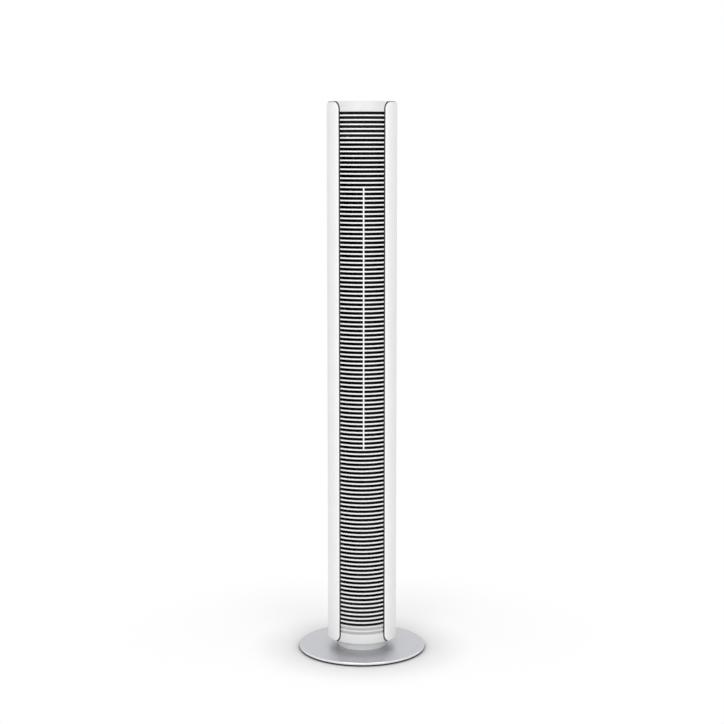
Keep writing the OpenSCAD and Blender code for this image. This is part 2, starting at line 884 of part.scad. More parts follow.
// Cup that closes the bottom bay and holds the motor
module motor_housing() {
  color(black)
    difference() {
      union() {
        difference() {
          pin([0, 0], bay_out_r, z_motor_floor + deck_t / 2, z_duct_floor - z_motor_floor - deck_t / 2);
          hole([0, 0], bay_in_r, z_motor_bay + over, z_duct_floor - z_motor_bay - over);
        }
        pin([0, 0], deck_r, z_motor_floor, deck_t);
        for (a = bay_screw_angles)
          pin(around(bay_screw_pcr, a), boss_r, z_duct_floor - bay_boss_h, bay_boss_h);
      }
      for (a = bay_screw_angles)
        hole(around(bay_screw_pcr, a), screw_hole_r, z_duct_floor - bay_boss_h, bay_boss_h);
      for (sx = [-1, 1])
        for (sy = [-1, 1])
          hole([sx * post_at[0], sy * post_at[1]], screw_hole_r, z_motor_floor, deck_t);
      for (at = motor_screw_places())
        hole(at, motor_screw_d / 2 + screw_clear, z_motor_floor, deck_t);
      hole(loom_at, loom_hole_r, z_motor_floor, deck_t);
    }
}

// Places of the motor's screws in plan
function motor_screw_places() = [
  for (i = [0 : motor_screw_count - 1])
    about_impeller(motor_screw_pcr, 60 + i * 360 / motor_screw_count)
];

// Rubber rings between the motor and its housing
module motor_dampers() {
  color(black)
    for (at = motor_screw_places())
      difference() {
        pin(at, 1.6 * motor_screw_d, z_motor_bay, damper_t);
        hole(at, motor_screw_d / 2 + screw_clear, z_motor_bay, damper_t);
      }
}

// Aluminium flange and bearing tube of the motor
module motor_base() {
  color(steel)
    translate([0, impeller_back, 0])
      difference() {
        union() {
          pin([0, 0], motor_flange_r, z_motor, motor_flange_t);
          pin([0, 0], bearing_tube_r, z_motor, motor_flange_t + bearing_tube_h);
        }
        hole([0, 0], bearing_r, z_motor_top + over, bearing_tube_h - over);
        for (i = [0 : motor_screw_count - 1])
          let (at = motor_screw_places()[i])
          hole([at[0], at[1] - impeller_back], motor_screw_d / 2 + screw_clear, z_motor, motor_flange_t);
      }
}

// Screws that hold the motor on its dampers
module motor_screws() {
  color(zinc)
    for (at = motor_screw_places())
      screw(at, z_motor_top, -1, motor_screw_d, motor_flange_t + damper_t + deck_t - seat_gap);
}

// Two ball bearings in the motor's tube
module motor_bearings() {
  color(steel)
    translate([0, impeller_back, 0])
      for (z = [z_motor_top + seat_gap, z_motor_top + bearing_tube_h - bearing_h - seat_gap])
        ring(shaft_r + run_clear, bearing_r - run_clear, z, bearing_h);
}

// Laminated stator with one tooth for each pole
module stator_core() {
  bore_r = bearing_tube_r + run_clear;
  yoke_r = bore_r + stator_yoke;
  shoe_in_r = stator_r - shoe_t;
  shoe_half = 0.36 * 360 / pole_count;
  color([0.42, 0.42, 0.44])
    translate([0, impeller_back, 0])
      union() {
        ring(bore_r, yoke_r, z_stack, stack_h);
        for (i = [0 : pole_count - 1])
          rotate([0, 0, i * 360 / pole_count]) {
            translate([yoke_r - stator_yoke / 2, -tooth_w / 2, z_stack])
              cube([shoe_in_r - yoke_r + stator_yoke / 2 + shoe_t / 2, tooth_w, stack_h]);
            ring_sector(shoe_in_r, stator_r, z_stack, stack_h, -front - shoe_half, -front + shoe_half);
          }
      }
}

// One copper coil round each stator tooth
module stator_windings() {
  yoke_r = bearing_tube_r + run_clear + stator_yoke;
  from = yoke_r + 2 * seat_gap;
  to = stator_r - shoe_t - 2 * seat_gap;
  color(copper)
    translate([0, impeller_back, 0])
      for (i = [0 : pole_count - 1])
        rotate([0, 0, i * 360 / pole_count])
          difference() {
            translate([from, -tooth_w / 2 - coil_w, z_stack - coil_over])
              cube([to - from, tooth_w + 2 * coil_w, stack_h + 2 * coil_over]);
            translate([from - over, -tooth_w / 2 - screw_clear, z_stack - screw_clear])
              cube([to - from + 2 * over, tooth_w + 2 * screw_clear, stack_h + 2 * screw_clear]);
          }
}

// Steel cup that turns round the stator
module rotor_cup() {
  z_rotor_top = z_rotor + rotor_h;
  color(steel)
    translate([0, impeller_back, 0])
      difference() {
        union() {
          pin([0, 0], rotor_r, z_rotor, rotor_h);
          pin([0, 0], rotor_hub_r, z_rotor_top - rotor_top_t, rotor_top_t + rotor_hub_h / 4);
        }
        difference() {
          translate([0, 0, z_rotor - over])
            cylinder(r = rotor_r - rotor_wall, h = rotor_h - rotor_top_t + over);
          pin([0, 0], rotor_hub_r, z_rotor_top - rotor_hub_h / 2, rotor_hub_h);
        }
        hole([0, 0], shaft_r + run_clear, z_rotor, rotor_h + rotor_hub_h);
      }
}

// Ring of magnets inside the rotor cup
module rotor_magnet() {
  color(dark)
    translate([0, impeller_back, 0])
      ring(magnet_in_r, magnet_out_r, z_stack - coil_over, magnet_h);
}

// Shaft from the motor up into the impeller's hub
module drive_shaft() {
  z = z_motor_top + seat_gap;
  color(steel)
    pin([0, impeller_back], shaft_r, z, z_impeller + hub_barrel_h - end_plate_t - z);
}

// Blade outline of the impeller: a thin curved strip from the inner to the outer edge
module blade_outline() {
  out_r = impeller_r - blade_t / 4;
  in_r = out_r - blade_depth;
  lean = 14;
  shares = [0, 0.33, 0.67, 1];
  polygon([
    for (side = [-1, 1])
      for (j = [0 : len(shares) - 1])
        let (share = side < 0 ? shares[j] : shares[len(shares) - 1 - j])
        let (r = in_r + share * (out_r - in_r))
        let (a = lean * share * share + side * blade_t / 2 / r * 180 / PI)
        [r * cos(a), r * sin(a)]
  ]);
}

// Long drum of blades with end plates and stiffening rings
module impeller() {
  l = z_impeller_top - z_impeller;
  ring_in_r = impeller_r - blade_depth - 2 * blade_t;
  color(black)
    translate([0, impeller_back, z_impeller])
      union() {
        for (i = [0 : blade_count - 1])
          rotate([0, 0, i * 360 / blade_count])
            translate([0, 0, end_plate_t / 2])
              linear_extrude(l - end_plate_t)
                blade_outline();
        for (i = [1 : ring_count])
          ring(ring_in_r, impeller_r, i * l / (ring_count + 1) - ring_t / 2, ring_t);
        ring(hub_barrel_r + run_clear, impeller_r, 0, end_plate_t);
        ring(axle_r + run_clear, impeller_r, l - end_plate_t, end_plate_t);
      }
}

// Metal hub that carries the impeller's lower end on the shaft
module impeller_hub() {
  color(zinc)
    translate([0, impeller_back, z_impeller - end_plate_t / 2])
      difference() {
        union() {
          cylinder(r = hub_barrel_r, h = hub_barrel_h);
          translate([0, 0, 1.5 * end_plate_t])
            cylinder(r = hub_flange_r, h = hub_flange_t);
        }
        translate([0, 0, -over])
          cylinder(r = shaft_r + run_clear, h = hub_barrel_h + 2 * over);
        translate([0, 0, set_screw_z()])
          rotate([0, 90, 0])
            cylinder(d = set_screw_d + 2 * screw_clear, h = hub_barrel_r + over);
      }
}

// Height of the set screw above the hub's lower end
function set_screw_z() = 1.5 * end_plate_t + hub_flange_t + set_screw_d;

// Set screw that grips the shaft
module hub_set_screw() {
  color(steel)
    translate([shaft_r + 2 * run_clear, impeller_back, z_impeller - end_plate_t / 2 + set_screw_z()])
      rotate([0, 90, 0])
        cylinder(d = set_screw_d, h = hub_barrel_r - shaft_r - 2 * run_clear);
}

// Steel axle at the impeller's upper end
module stub_axle() {
  z = z_impeller_top - end_plate_t - axle_flange_t;
  color(steel)
    union() {
      pin([0, impeller_back], axle_flange_r, z, axle_flange_t);
      pin([0, impeller_back], axle_r, z, axle_h);
    }
}

// End plate under the duct
module duct_floor() {
  color(black)
    difference() {
      pin([0, 0], deck_r, z_duct_floor, deck_t);
      hole([0, impeller_back], hub_barrel_r + hub_clear, z_duct_floor, deck_t);
      duct_plate_holes(z_duct_floor);
    }
}

// Screw and loom holes that both end plates share
module duct_plate_holes(z) {
  for (at = duct_bosses)
    hole(at, screw_hole_r, z, deck_t);
  for (a = bay_screw_angles)
    hole(around(bay_screw_pcr, a), screw_hole_r, z, deck_t);
  hole(loom_at, loom_hole_r, z, deck_t);
}

// Inner radius of the scroll at an angle from the rear
function scroll_r(a) = impeller_r + scroll_gap_start
  + (scroll_gap_end - scroll_gap_start) * (a - scroll_from) / (scroll_to - scroll_from);

// Screw bosses at both ends of a duct wall
module duct_wall_bosses(places) {
  for (at = places)
    for (z = [z_duct, z_duct_roof - duct_boss_h])
      pin(at, boss_r, z, duct_boss_h);
}

// Screw holes in those bosses
module duct_wall_holes(places) {
  for (at = places)
    for (z = [z_duct, z_duct_roof - duct_boss_h])
      hole(at, screw_hole_r, z, duct_boss_h);
}

// Wall that widens round the impeller and leads the air to the front
module scroll_wall() {
  angles = [for (i = [0 : scroll_steps]) scroll_from + i * (scroll_to - scroll_from) / scroll_steps];
  web_start = about_impeller(scroll_r(scroll_web_angle) + duct_wall / 2, scroll_web_angle);
  web_end = around(rail_in_r - 2 * seat_gap, 180 - rail_from);
  side_start = (scroll_r(side_web_angle) + duct_wall / 2) * sin(side_web_angle);
  side_end = sqrt(pow(panel_in_r - 2 * seat_gap, 2) - pow(side_web_y, 2));
  h = z_duct_roof - z_duct;
  color(black)
    difference() {
      union() {
        translate([0, 0, z_duct])
          linear_extrude(h)
            polygon(concat(
              [for (a = angles) about_impeller(scroll_r(a), a)],
              [[outlet_half, outlet_y], [outlet_half + duct_wall, outlet_y]],
              [
                for (i = [scroll_steps : -1 : 0])
                  about_impeller(scroll_r(angles[i]) + duct_wall, angles[i])
              ]
            ));
        translate([0, 0, z_duct])
          linear_extrude(h)
            polygon([
              web_start - [0, duct_wall / 2],
              web_end - [0, duct_wall / 2],
              web_end + [-duct_wall / 2, duct_wall / 2],
              web_start + [0, duct_wall / 2]
            ]);
        translate([side_start, side_web_y - duct_wall / 2, z_duct])
          cube([side_end - side_start, duct_wall, h]);
        duct_wall_bosses([duct_bosses[0], duct_bosses[1]]);
      }
      duct_wall_holes([duct_bosses[0], duct_bosses[1]]);
    }
}

// Wall on the other side, with the round tongue that parts intake from outlet
module tongue_wall() {
  side_end = sqrt(pow(panel_in_r - 2 * seat_gap, 2) - pow(side_web_y, 2));
  h = z_duct_roof - z_duct;
  color(black)
    difference() {
      union() {
        translate([-outlet_half - duct_wall, outlet_y, z_duct])
          cube([duct_wall, tongue_y - outlet_y, h]);
        pin([-outlet_half - duct_wall + tongue_r + screw_clear, tongue_y], tongue_r, z_duct, h);
        translate([-side_end, side_web_y - duct_wall / 2, z_duct])
          cube([side_end - outlet_half - duct_wall / 2, duct_wall, h]);
        duct_wall_bosses([duct_bosses[2], duct_bosses[3]]);
      }
      duct_wall_holes([duct_bosses[2], duct_bosses[3]]);
    }
}

// End plate over the duct, with the cup of the upper bearing
module duct_roof() {
  color(black)
    difference() {
      union() {
        pin([0, 0], deck_r, z_duct_roof, deck_t);
        pin([0, impeller_back], holder_r + run_clear + holder_cup_wall, z_duct_roof, deck_t + holder_h);
      }
      hole([0, impeller_back], sleeve_r + 2 * seat_gap, z_duct_roof, deck_t);
      translate([0, impeller_back, z_control_bay])
        cylinder(r = holder_r + run_clear, h = holder_h + over);
      duct_plate_holes(z_duct_roof);
    }
}

// Rubber ring that holds the upper bearing
module bearing_holder() {
  color([0.10, 0.10, 0.10])
    translate([0, impeller_back, 0])
      ring(sleeve_r + run_clear, holder_r, z_control_bay, holder_h);
}

// Sintered sleeve that the impeller's upper axle runs in
module top_bearing() {
  color(bronze)
    translate([0, impeller_back, 0])
      ring(axle_r + run_clear, sleeve_r, z_control_bay + seat_gap, sleeve_h);
}

// Inverted cup above the duct, with the deck that carries the control board and the cap
module control_housing() {
  color(black)
    difference() {
      union() {
        difference() {
          pin([0, 0], bay_out_r, z_control_bay, z_deck - z_control_bay + deck_t / 2);
          hole([0, 0], bay_in_r, z_control_bay, z_deck - z_control_bay - over);
        }
        pin([0, 0], deck_r, z_deck, deck_t);
        for (a = bay_screw_angles)
          pin(around(bay_screw_pcr, a), boss_r, z_control_bay, bay_boss_h);
        for (at = control_pillars) {
          pin(at, pillar_r, z_deck + deck_t / 2, deck_t / 2 + control_pillar_h);
          pin(at, pillar_pin_r, z_control - over, over + 1.5 * board_t);
        }
      }
      for (a = bay_screw_angles)
        hole(around(bay_screw_pcr, a), screw_hole_r, z_control_bay, bay_boss_h);
      for (a = cap_screw_angles)
        hole(around(cap_screw_pcr, a), screw_hole_r, z_deck, deck_t);
      hole(loom_at, loom_hole_r, z_deck, deck_t);
    }
}

// Place of a button, or of another thing in its column, in plan
function button_place(i, forward) = [
  (i - (button_count - 1) / 2) * button_pitch,
  -button_front - forward
];

// Round board under the buttons
module control_board() {
  color(board_green)
    difference() {
      pin([0, 0], control_board_r, z_control, board_t);
      for (at = control_pillars)
        hole(at, pillar_pin_r + screw_clear, z_control, board_t);
    }
}

// One small switch under each button
module tact_switches() {
  z = z_control + board_t;
  color(dark)
    for (i = [0 : button_count - 1])
      let (at = button_place(i, 0))
      union() {
        translate([at[0] - switch_size / 2, at[1] - switch_size / 2, z])
          cube([switch_size, switch_size, switch_h]);
        pin(at, plunger_r, z + switch_h / 2, z_plunger - z - switch_h / 2);
      }
}

// One small lamp under each light guide
module indicator_leds() {
  color(white)
    for (i = [0 : button_count - 1])
      let (at = button_place(i, guide_front))
      translate([at[0] - led_size / 2, at[1] - led_size / 2, z_control + board_t])
        cube([led_size, led_size, led_h]);
}

// Clear rods that bring the indicator light to the top of the cap
module light_guides() {
  z = z_control + board_t + led_h + seat_gap;
  color(lens)
    for (i = [0 : button_count - 1])
      pin(button_place(i, guide_front), guide_d / 2, z, z_top - z);
}

// Push button number i
module button(i) {
  at = button_place(i, 0);
  union() {
    pin(at, button_r, z_button_flange + button_flange_t / 2, z_top - z_button_flange - button_flange_t / 2);
    pin(at, button_r + button_flange_w, z_button_flange, button_flange_t);
    pin(at, button_stem_r, z_button_stem, z_button_flange - z_button_stem + button_flange_t / 2);
  }
}

// Button that switches the fan on and off
module power_button() {
  color(shade_white)
    button(2);
}

// Button for the speed
module speed_button() {
  color(shade_white)
    button(1);
}

// Button for the swinging
module swing_button() {
  color(shade_white)
    button(3);
}

// Button for the timer
module timer_button() {
  color(shade_white)
    button(4);
}

// Button for the mode
module mode_button() {
  color(shade_white)
    button(0);
}

// Drum-shaped grille: slats, two upright rails at their ends, and a tongue from each slat to each rail
module grille() {
  for (side = [0, 1])
    mirror([side, 0, 0]) {
      ring_sector(rail_in_r, rail_out_r, z_skirt_top + seat_gap, z_cap - z_skirt_top - 2 * seat_gap,
        rail_from, rail_to);
      rotate([0, 0, front + slat_half - 1])
        rotate_extrude(angle = rail_from - slat_half + 2)
          slat_rows(tongue_in_r, tongue_out_r, slat_t);
    }
  rotate([0, 0, front - slat_half])
    rotate_extrude(angle = 2 * slat_half)
      slat_rows(slat_in_r, drum_r, slat_t);
}

// Sections of all slats, side by side in height
module slat_rows(in_r, out_r, h) {
  for (k = [0 : slat_count - 1])
    translate([in_r, z_slat_0 + k * slat_pitch - h / 2])
      square([out_r - in_r, h]);
}

// Front grille, with a thin upright rib across part of its slats
module front_grille() {
  rib_angle = asin(rib_offset / drum_r);
  rib_half = rib_w / drum_r * 90 / PI;
  z_rib_top = z_slat_0 + (slat_count - 1 - rib_first) * slat_pitch;
  color(white)
    union() {
      grille();
      ring_sector(slat_in_r + screw_clear, drum_r - screw_clear, z_rib_top - rib_span * slat_pitch,
        rib_span * slat_pitch, rib_angle - rib_half, rib_angle + rib_half);
    }
}

// Rear grille over the intake
module rear_grille() {
  color(white)
    rotate([0, 0, 180])
      grille();
}

// Cutter for one rounded panel corner, with the round's centre at the origin and the corner at +Y, +Z
module corner_cutter() {
  reach = 2 * panel_t;
  size = panel_corner + over;
  difference() {
    translate([-reach, 0, 0])
      cube([2 * reach, size, size]);
    translate([-reach - over, 0, 0])
      rotate([0, 90, 0])
        cylinder(r = panel_corner, h = 2 * (reach + over));
  }
}

// Right side panel with rounded corners, and hooks that grip the rails of both grilles
module side_panel() {
  z_low = z_col;
  z_high = z_top - panel_drop;
  ease = screw_clear / 2;
  corner_in = (panel_corner - ease) / column_r * 180 / PI;
  difference() {
    rotate([0, 0, front + window_half])
      rotate_extrude(angle = 180 - 2 * window_half)
        polygon([
          [panel_in_r, z_low],
          [column_r - panel_bevel, z_low],
          [column_r, z_low + panel_bevel],
          [column_r, z_high - panel_bevel],
          [column_r - panel_bevel, z_high],
          [panel_in_r, z_high]
        ]);
    for (rear = [0, 1])
      mirror([0, rear, 0])
        for (upper = [0, 1])
          rotate([0, 0, front + window_half + corner_in])
            translate([column_r - panel_t / 2, 0,
              upper ? z_high - panel_corner + ease : z_low + panel_corner - ease])
              mirror([0, 0, 1 - upper])
                mirror([0, 1, 0])
                  corner_cutter();
  }
  for (rear = [0, 1])
    mirror([0, rear, 0])
      for (i = [0 : hook_count - 1])
        let (z = z_skirt_top + (i + 0.5) * (z_cap - z_skirt_top) / hook_count - hook_h / 2)
        union() {
          ring_sector(rail_in_r - seat_gap - hook_t, panel_in_r + panel_t / 2, z, hook_h,
            hook_rib_from, hook_to);
          ring_sector(rail_in_r - seat_gap - hook_t, rail_in_r - seat_gap, z, hook_h,
            hook_from, hook_to);
        }
}

// Panel on the right, seen from the front
module right_panel() {
  color(white)
    side_panel();
}

// Panel on the left, seen from the front
module left_panel() {
  color(white)
    mirror([1, 0, 0])
      side_panel();
}

// Cap with the button holes, its inner flange screwed to the deck
module top_cap() {
  in_r = drum_r - cap_wall;
  color(white)
    difference() {
      union() {
        rotate_extrude()
          polygon([
            [cap_flange_in_r, z_cap],
            [drum_r, z_cap],
            [drum_r, z_top - cap_bevel],
            [drum_r - cap_bevel, z_top],
            [0, z_top],
            [0, z_cap_under],
            [in_r, z_cap_under],
            [in_r, z_cap + cap_flange_t],
            [cap_flange_in_r, z_cap + cap_flange_t]
          ]);
        for (a = cap_screw_angles)
          pin(around(cap_screw_pcr, a), boss_r, z_cap + cap_flange_t / 2, cap_boss_h - cap_flange_t / 2);
      }
      for (a = cap_screw_angles)
        hole(around(cap_screw_pcr, a), screw_hole_r, z_cap, cap_boss_h);
      for (i = [0 : button_count - 1]) {
        hole(button_place(i, 0), button_r + button_gap, z_cap_under, cap_wall);
        hole(button_place(i, guide_front), guide_d / 2 + run_clear, z_cap_under, cap_wall);
      }
    }
}

// All the equal small screws of the column
module case_screws() {
  color(zinc) {
    for (a = [skirt_screw_angle, 180 - skirt_screw_angle, 180 + skirt_screw_angle, -skirt_screw_angle])
      screw(around(skirt_screw_pcr, a), z_floor_top + skirt_boss_h, -1, screw_d,
        floor_t + skirt_boss_h + skirt_flange_t - seat_gap);
    for (sx = [-1, 1]) {
      screw([sx * ear_reach, -pinion_reach - swing_motor_shift], z_swing_motor + ear_t, -1, screw_d, screw_l);
      for (sy = [-1, 1])
        screw([sx * post_at[0], sy * post_at[1]], z_motor_bay, -1, screw_d, screw_l);
    }
    for (a = bay_screw_angles) {
      screw(around(bay_screw_pcr, a), z_duct, -1, screw_d, screw_l);
      screw(around(bay_screw_pcr, a), z_duct_roof, 1, screw_d, screw_l);
    }
    for (at = duct_bosses) {
      screw(at, z_duct_floor, 1, screw_d, screw_l);
      screw(at, z_control_bay, -1, screw_d, screw_l);
    }
    for (a = cap_screw_angles)
      screw(around(cap_screw_pcr, a), z_deck, 1, screw_d, screw_l);
  }
}

base_plate();
foot_ring();
neck_housing();
neck_screws();
pivot_tube();
pivot_screws();
swing_gear();
slide_ring();
retaining_washer();
retaining_ring();
bottom_skirt();
column_floor();
pivot_bush();
swing_motor();
swing_pinion();
swing_shaft();
cord_gland();
gland_nut();
power_board();
terminal_block();
filter_capacitor();
wire_loom();
motor_housing();
motor_dampers();
motor_base();
motor_screws();
motor_bearings();
stator_core();
stator_windings();
rotor_cup();
rotor_magnet();
drive_shaft();
impeller();
impeller_hub();
hub_set_screw();
stub_axle();
duct_floor();
scroll_wall();
tongue_wall();
duct_roof();
bearing_holder();
top_bearing();
control_housing();
control_board();
tact_switches();
indicator_leds();
light_guides();
power_button();
speed_button();
swing_button();
timer_button();
mode_button();
front_grille();
rear_grille();
left_panel();
right_panel();
top_cap();
case_screws();
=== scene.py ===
"""Slim tower fan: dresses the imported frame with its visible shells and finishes, and sets the stage."""

import math

import bmesh
import bpy
from mathutils import Matrix, Vector


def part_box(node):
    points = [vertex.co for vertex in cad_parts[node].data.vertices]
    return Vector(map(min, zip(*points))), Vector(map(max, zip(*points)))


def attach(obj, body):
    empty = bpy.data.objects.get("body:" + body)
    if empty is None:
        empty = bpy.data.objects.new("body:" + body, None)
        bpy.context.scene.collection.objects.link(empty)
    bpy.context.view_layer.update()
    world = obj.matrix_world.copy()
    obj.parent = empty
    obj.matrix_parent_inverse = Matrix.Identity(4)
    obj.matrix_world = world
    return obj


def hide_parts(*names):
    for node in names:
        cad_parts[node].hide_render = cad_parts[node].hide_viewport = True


bl_info = {
    "name": "Slim tower fan",
    "version": (1, 0, 0),
    "blender": (4, 5, 0),
    "location": "3D View > Sidebar > Tower fan",
    "description": "Builds the visible shells, slats, plate and buttons of a slim tower fan",
    "category": "Object",
}

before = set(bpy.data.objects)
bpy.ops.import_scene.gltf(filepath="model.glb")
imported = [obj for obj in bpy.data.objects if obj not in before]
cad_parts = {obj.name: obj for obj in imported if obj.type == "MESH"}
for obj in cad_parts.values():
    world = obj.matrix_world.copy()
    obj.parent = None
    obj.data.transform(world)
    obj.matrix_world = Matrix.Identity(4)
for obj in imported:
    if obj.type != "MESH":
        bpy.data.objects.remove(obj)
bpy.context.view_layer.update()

MM = 0.001
TINY = 1e-6
FULL = 2 * math.pi
FRONT = -math.pi / 2
COLUMN = "column"
BASE = "base"


# Sizes in metres, read from the frame where it has them


def top(node):
    """Height of a node's upper end."""
    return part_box(node)[1].z


def bottom(node):
    """Height of a node's lower end."""
    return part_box(node)[0].z


def reach(node):
    """Largest distance of a round node's wall from the column's axis."""
    return max(v.co.xy.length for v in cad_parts[node].data.vertices)


Z_PLATE = bottom("base_plate")
Z_NECK = bottom("neck_housing")
Z_NECK_TOP = top("neck_housing")
Z_COLUMN = bottom("bottom_skirt")
Z_SKIRT_TOP = top("bottom_skirt")
Z_CAP = bottom("top_cap")
Z_TOP = top("top_cap")
Z_PANEL_TOP = top("left_panel")
R_PLATE = reach("base_plate")
R_NECK = reach("neck_housing")
R_DRUM = reach("top_cap")
R_PANEL = reach("left_panel")
R_FOOT = reach("foot_ring")
FLANGE_T = 2 * MM
Z_BAY_SEAT = Z_COLUMN + FLANGE_T
DRUM_WALL = 3 * MM
CAP_WALL = 2.5 * MM
SCREW_HOLE_R = 1.6 * MM
PIVOT_HOLE_R = 2.1 * MM
PIVOT_CIRCLE_R = 13.75 * MM
NECK_CIRCLE_R = 43 * MM
SKIRT_CIRCLE_R = 57.3 * MM
CAP_CIRCLE_R = 55.4 * MM
WINDOW_HALF = math.radians(42.6)
PANEL_T = 3 * MM
PANEL_HALF = (math.pi / 2 - WINDOW_HALF) * R_PANEL
PANEL_TALL = Z_PANEL_TOP - Z_COLUMN
PANEL_STRIPS = 26
HOOK_LIP_FROM = math.radians(48)
HOOK_FOOT_FROM = math.radians(51)
HOOK_TO = math.radians(53)
SLAT_HALF = math.radians(41.9)
RAIL_FROM = math.radians(45.7)
RAIL_TO = math.radians(50.5)
SLAT_COUNT = 118
SLAT_PITCH = 8.5 * MM
SLAT_T = 2.8 * MM
SLAT_DEPTH = 2.6 * MM
SLAT_FIRST = Z_SKIRT_TOP + SLAT_PITCH - SLAT_T / 2
BUTTONS = {
    "mode_button": -34 * MM,
    "speed_button": -17 * MM,
    "power_button": 0.0,
    "swing_button": 17 * MM,
    "timer_button": 34 * MM,
}
BUTTON_R = 6.5 * MM
BUTTON_Y = -14 * MM
GUIDE_Y = -26 * MM


# Settings


class TowerFanBase(bpy.types.PropertyGroup):
    """Sizes and colours of the plate, its foot and the neck."""

    plate_round: bpy.props.FloatProperty(
        name="Plate edge", description="Round on the plate's upper edge", default=0.9 * MM,
        unit="LENGTH", precision=5,
    )
    plate_colour: bpy.props.FloatVectorProperty(
        name="Plate paint", description="Colour of the plate's satin paint", default=(0.56, 0.565, 0.59),
        subtype="COLOR", min=0, max=1,
    )
    foot_colour: bpy.props.FloatVectorProperty(
        name="Foot rubber", description="Colour of the rubber ring", default=(0.012, 0.012, 0.013),
        subtype="COLOR", min=0, max=1,
    )
    # Neck colour: a white moulding made grey, painted shade from the column above it.
    shade_painted_neck_colour: bpy.props.FloatVectorProperty(
        name="Neck", description="Colour of the fixed neck", default=(0.665, 0.665, 0.67),
        subtype="COLOR", min=0, max=1,
    )
    neck_round: bpy.props.FloatProperty(
        name="Neck edge", description="Round on the neck's upper edge", default=0.8 * MM,
        unit="LENGTH", precision=5,
    )


class TowerFanColumn(bpy.types.PropertyGroup):
    """Sizes and colours of the column's white shells."""

    shell_colour: bpy.props.FloatVectorProperty(
        name="Shell", description="Colour of the side panels", default=(0.92, 0.92, 0.922),
        subtype="COLOR", min=0, max=1,
    )
    slat_colour: bpy.props.FloatVectorProperty(
        name="Slats", description="Colour of the slats", default=(0.89, 0.89, 0.89),
        subtype="COLOR", min=0, max=1,
    )
    # Cap and skirt colour: the panels' white made darker, painted shade for the lower light these faces get.
    shade_painted_inset_colour: bpy.props.FloatVectorProperty(
        name="Cap and skirt", description="Colour of the cap and the skirt", default=(0.755, 0.755, 0.758),
        subtype="COLOR", min=0, max=1,
    )
    panel_round: bpy.props.FloatProperty(
        name="Panel edge", description="Round along the side panels' outer edges", default=1.6 * MM,
        unit="LENGTH", precision=5,
    )
    panel_corner: bpy.props.FloatProperty(
        name="Panel corner", description="Radius of the side panels' four corners", default=14 * MM,
        unit="LENGTH", precision=5,
    )
    slat_chamfer: bpy.props.FloatProperty(
        name="Slat edge", description="Chamfer on each slat's front edges", default=0.45 * MM,
        unit="LENGTH", precision=5,
    )
    cap_round: bpy.props.FloatProperty(
        name="Cap edge", description="Round on the cap's upper edge", default=1.1 * MM,
        unit="LENGTH", precision=5,
    )


class TowerFanControls(bpy.types.PropertyGroup):
    """Sizes and colours of the push buttons."""

    button_colour: bpy.props.FloatVectorProperty(
        name="Button", description="Colour of the push buttons", default=(0.78, 0.78, 0.785),
        subtype="COLOR", min=0, max=1,
    )
    button_round: bpy.props.FloatProperty(
        name="Button edge", description="Round on each button's rim", default=0.6 * MM,
        unit="LENGTH", precision=5,
    )
    button_dish: bpy.props.FloatProperty(
        name="Button dish", description="Depth of the dish in each button", default=0.5 * MM,
        unit="LENGTH", precision=5,
    )


class TowerFanStage(bpy.types.PropertyGroup):
    """Camera and light."""

    eye_distance: bpy.props.FloatProperty(
        name="Eye distance", description="Distance of the camera in front of the axis", default=3.1,
        unit="LENGTH",
    )
    eye_height: bpy.props.FloatProperty(
        name="Eye height", description="Height of the camera above the floor", default=1.02,
        unit="LENGTH",
    )
    eye_pitch: bpy.props.FloatProperty(
        name="Eye pitch", description="Angle of the view below the horizon", default=math.radians(7.66),
        subtype="ANGLE",
    )
    lens: bpy.props.FloatProperty(name="Lens", description="Focal length in millimetres", default=78.75)
    rise: bpy.props.FloatProperty(name="Rise", description="Vertical shift of the lens", default=-0.015)
    sky: bpy.props.FloatProperty(name="Sky", description="Strength of the white surroundings", default=0.61)
    key: bpy.props.FloatProperty(
        name="Key light", description="Power of the left front light in watts", default=28.0,
    )
    overhead: bpy.props.FloatProperty(
        name="Top light", description="Power of the overhead light in watts", default=24.0,
    )


# Materials


def new_finish(name, colour, roughness, metallic=0.0):
    """New material; returns it with its node tree, its Principled shader and the Object coordinates."""
    material = bpy.data.materials.new(name)
    material.use_nodes = True
    tree = material.node_tree
    shader = tree.nodes["Principled BSDF"]
    shader.inputs["Base Color"].default_value = (*colour, 1)
    shader.inputs["Roughness"].default_value = roughness
    shader.inputs["Metallic"].default_value = metallic
    place = tree.nodes.new("ShaderNodeTexCoord").outputs["Object"]
    return material, tree, shader, place


def noise(tree, place, scale, detail=3.0, roughness=0.5):
    """Noise factor at a scale in features per metre."""
    node = tree.nodes.new("ShaderNodeTexNoise")
    node.inputs["Scale"].default_value = scale
    node.inputs["Detail"].default_value = detail
    node.inputs["Roughness"].default_value = roughness
    tree.links.new(place, node.inputs["Vector"])
    return node.outputs["Fac"]


def spread(tree, factor, low=0.0, high=1.0):
    """Map the middle part of a noise factor, where most of it lies, to a range of values."""
    noise_low, noise_high = 0.3, 0.7
    node = tree.nodes.new("ShaderNodeMapRange")
    node.inputs["From Min"].default_value = noise_low
    node.inputs["From Max"].default_value = noise_high
    node.inputs["To Min"].default_value = low
    node.inputs["To Max"].default_value = high
    tree.links.new(factor, node.inputs["Value"])
    return node.outputs["Result"]


def blend_colours(tree, factor, first, second):
    """Mix two colours by a factor."""
    node = tree.nodes.new("ShaderNodeMix")
    node.data_type = "RGBA"
    node.inputs["A"].default_value = (*first, 1)
    node.inputs["B"].default_value = (*second, 1)
    tree.links.new(factor, node.inputs["Factor"])
    return node.outputs["Result"]


def relief(tree, shader, height, distance, strength):
    """Bump from a height, with its depth in metres."""
    node = tree.nodes.new("ShaderNodeBump")
    node.inputs["Distance"].default_value = distance
    node.inputs["Strength"].default_value = strength
    tree.links.new(height, node.inputs["Height"])
    tree.links.new(node.outputs["Normal"], shader.inputs["Normal"])


def shade(colour, amount):
    """A colour made lighter or darker by a share."""
    return tuple(min(1.0, max(0.0, c * (1 + amount))) for c in colour)


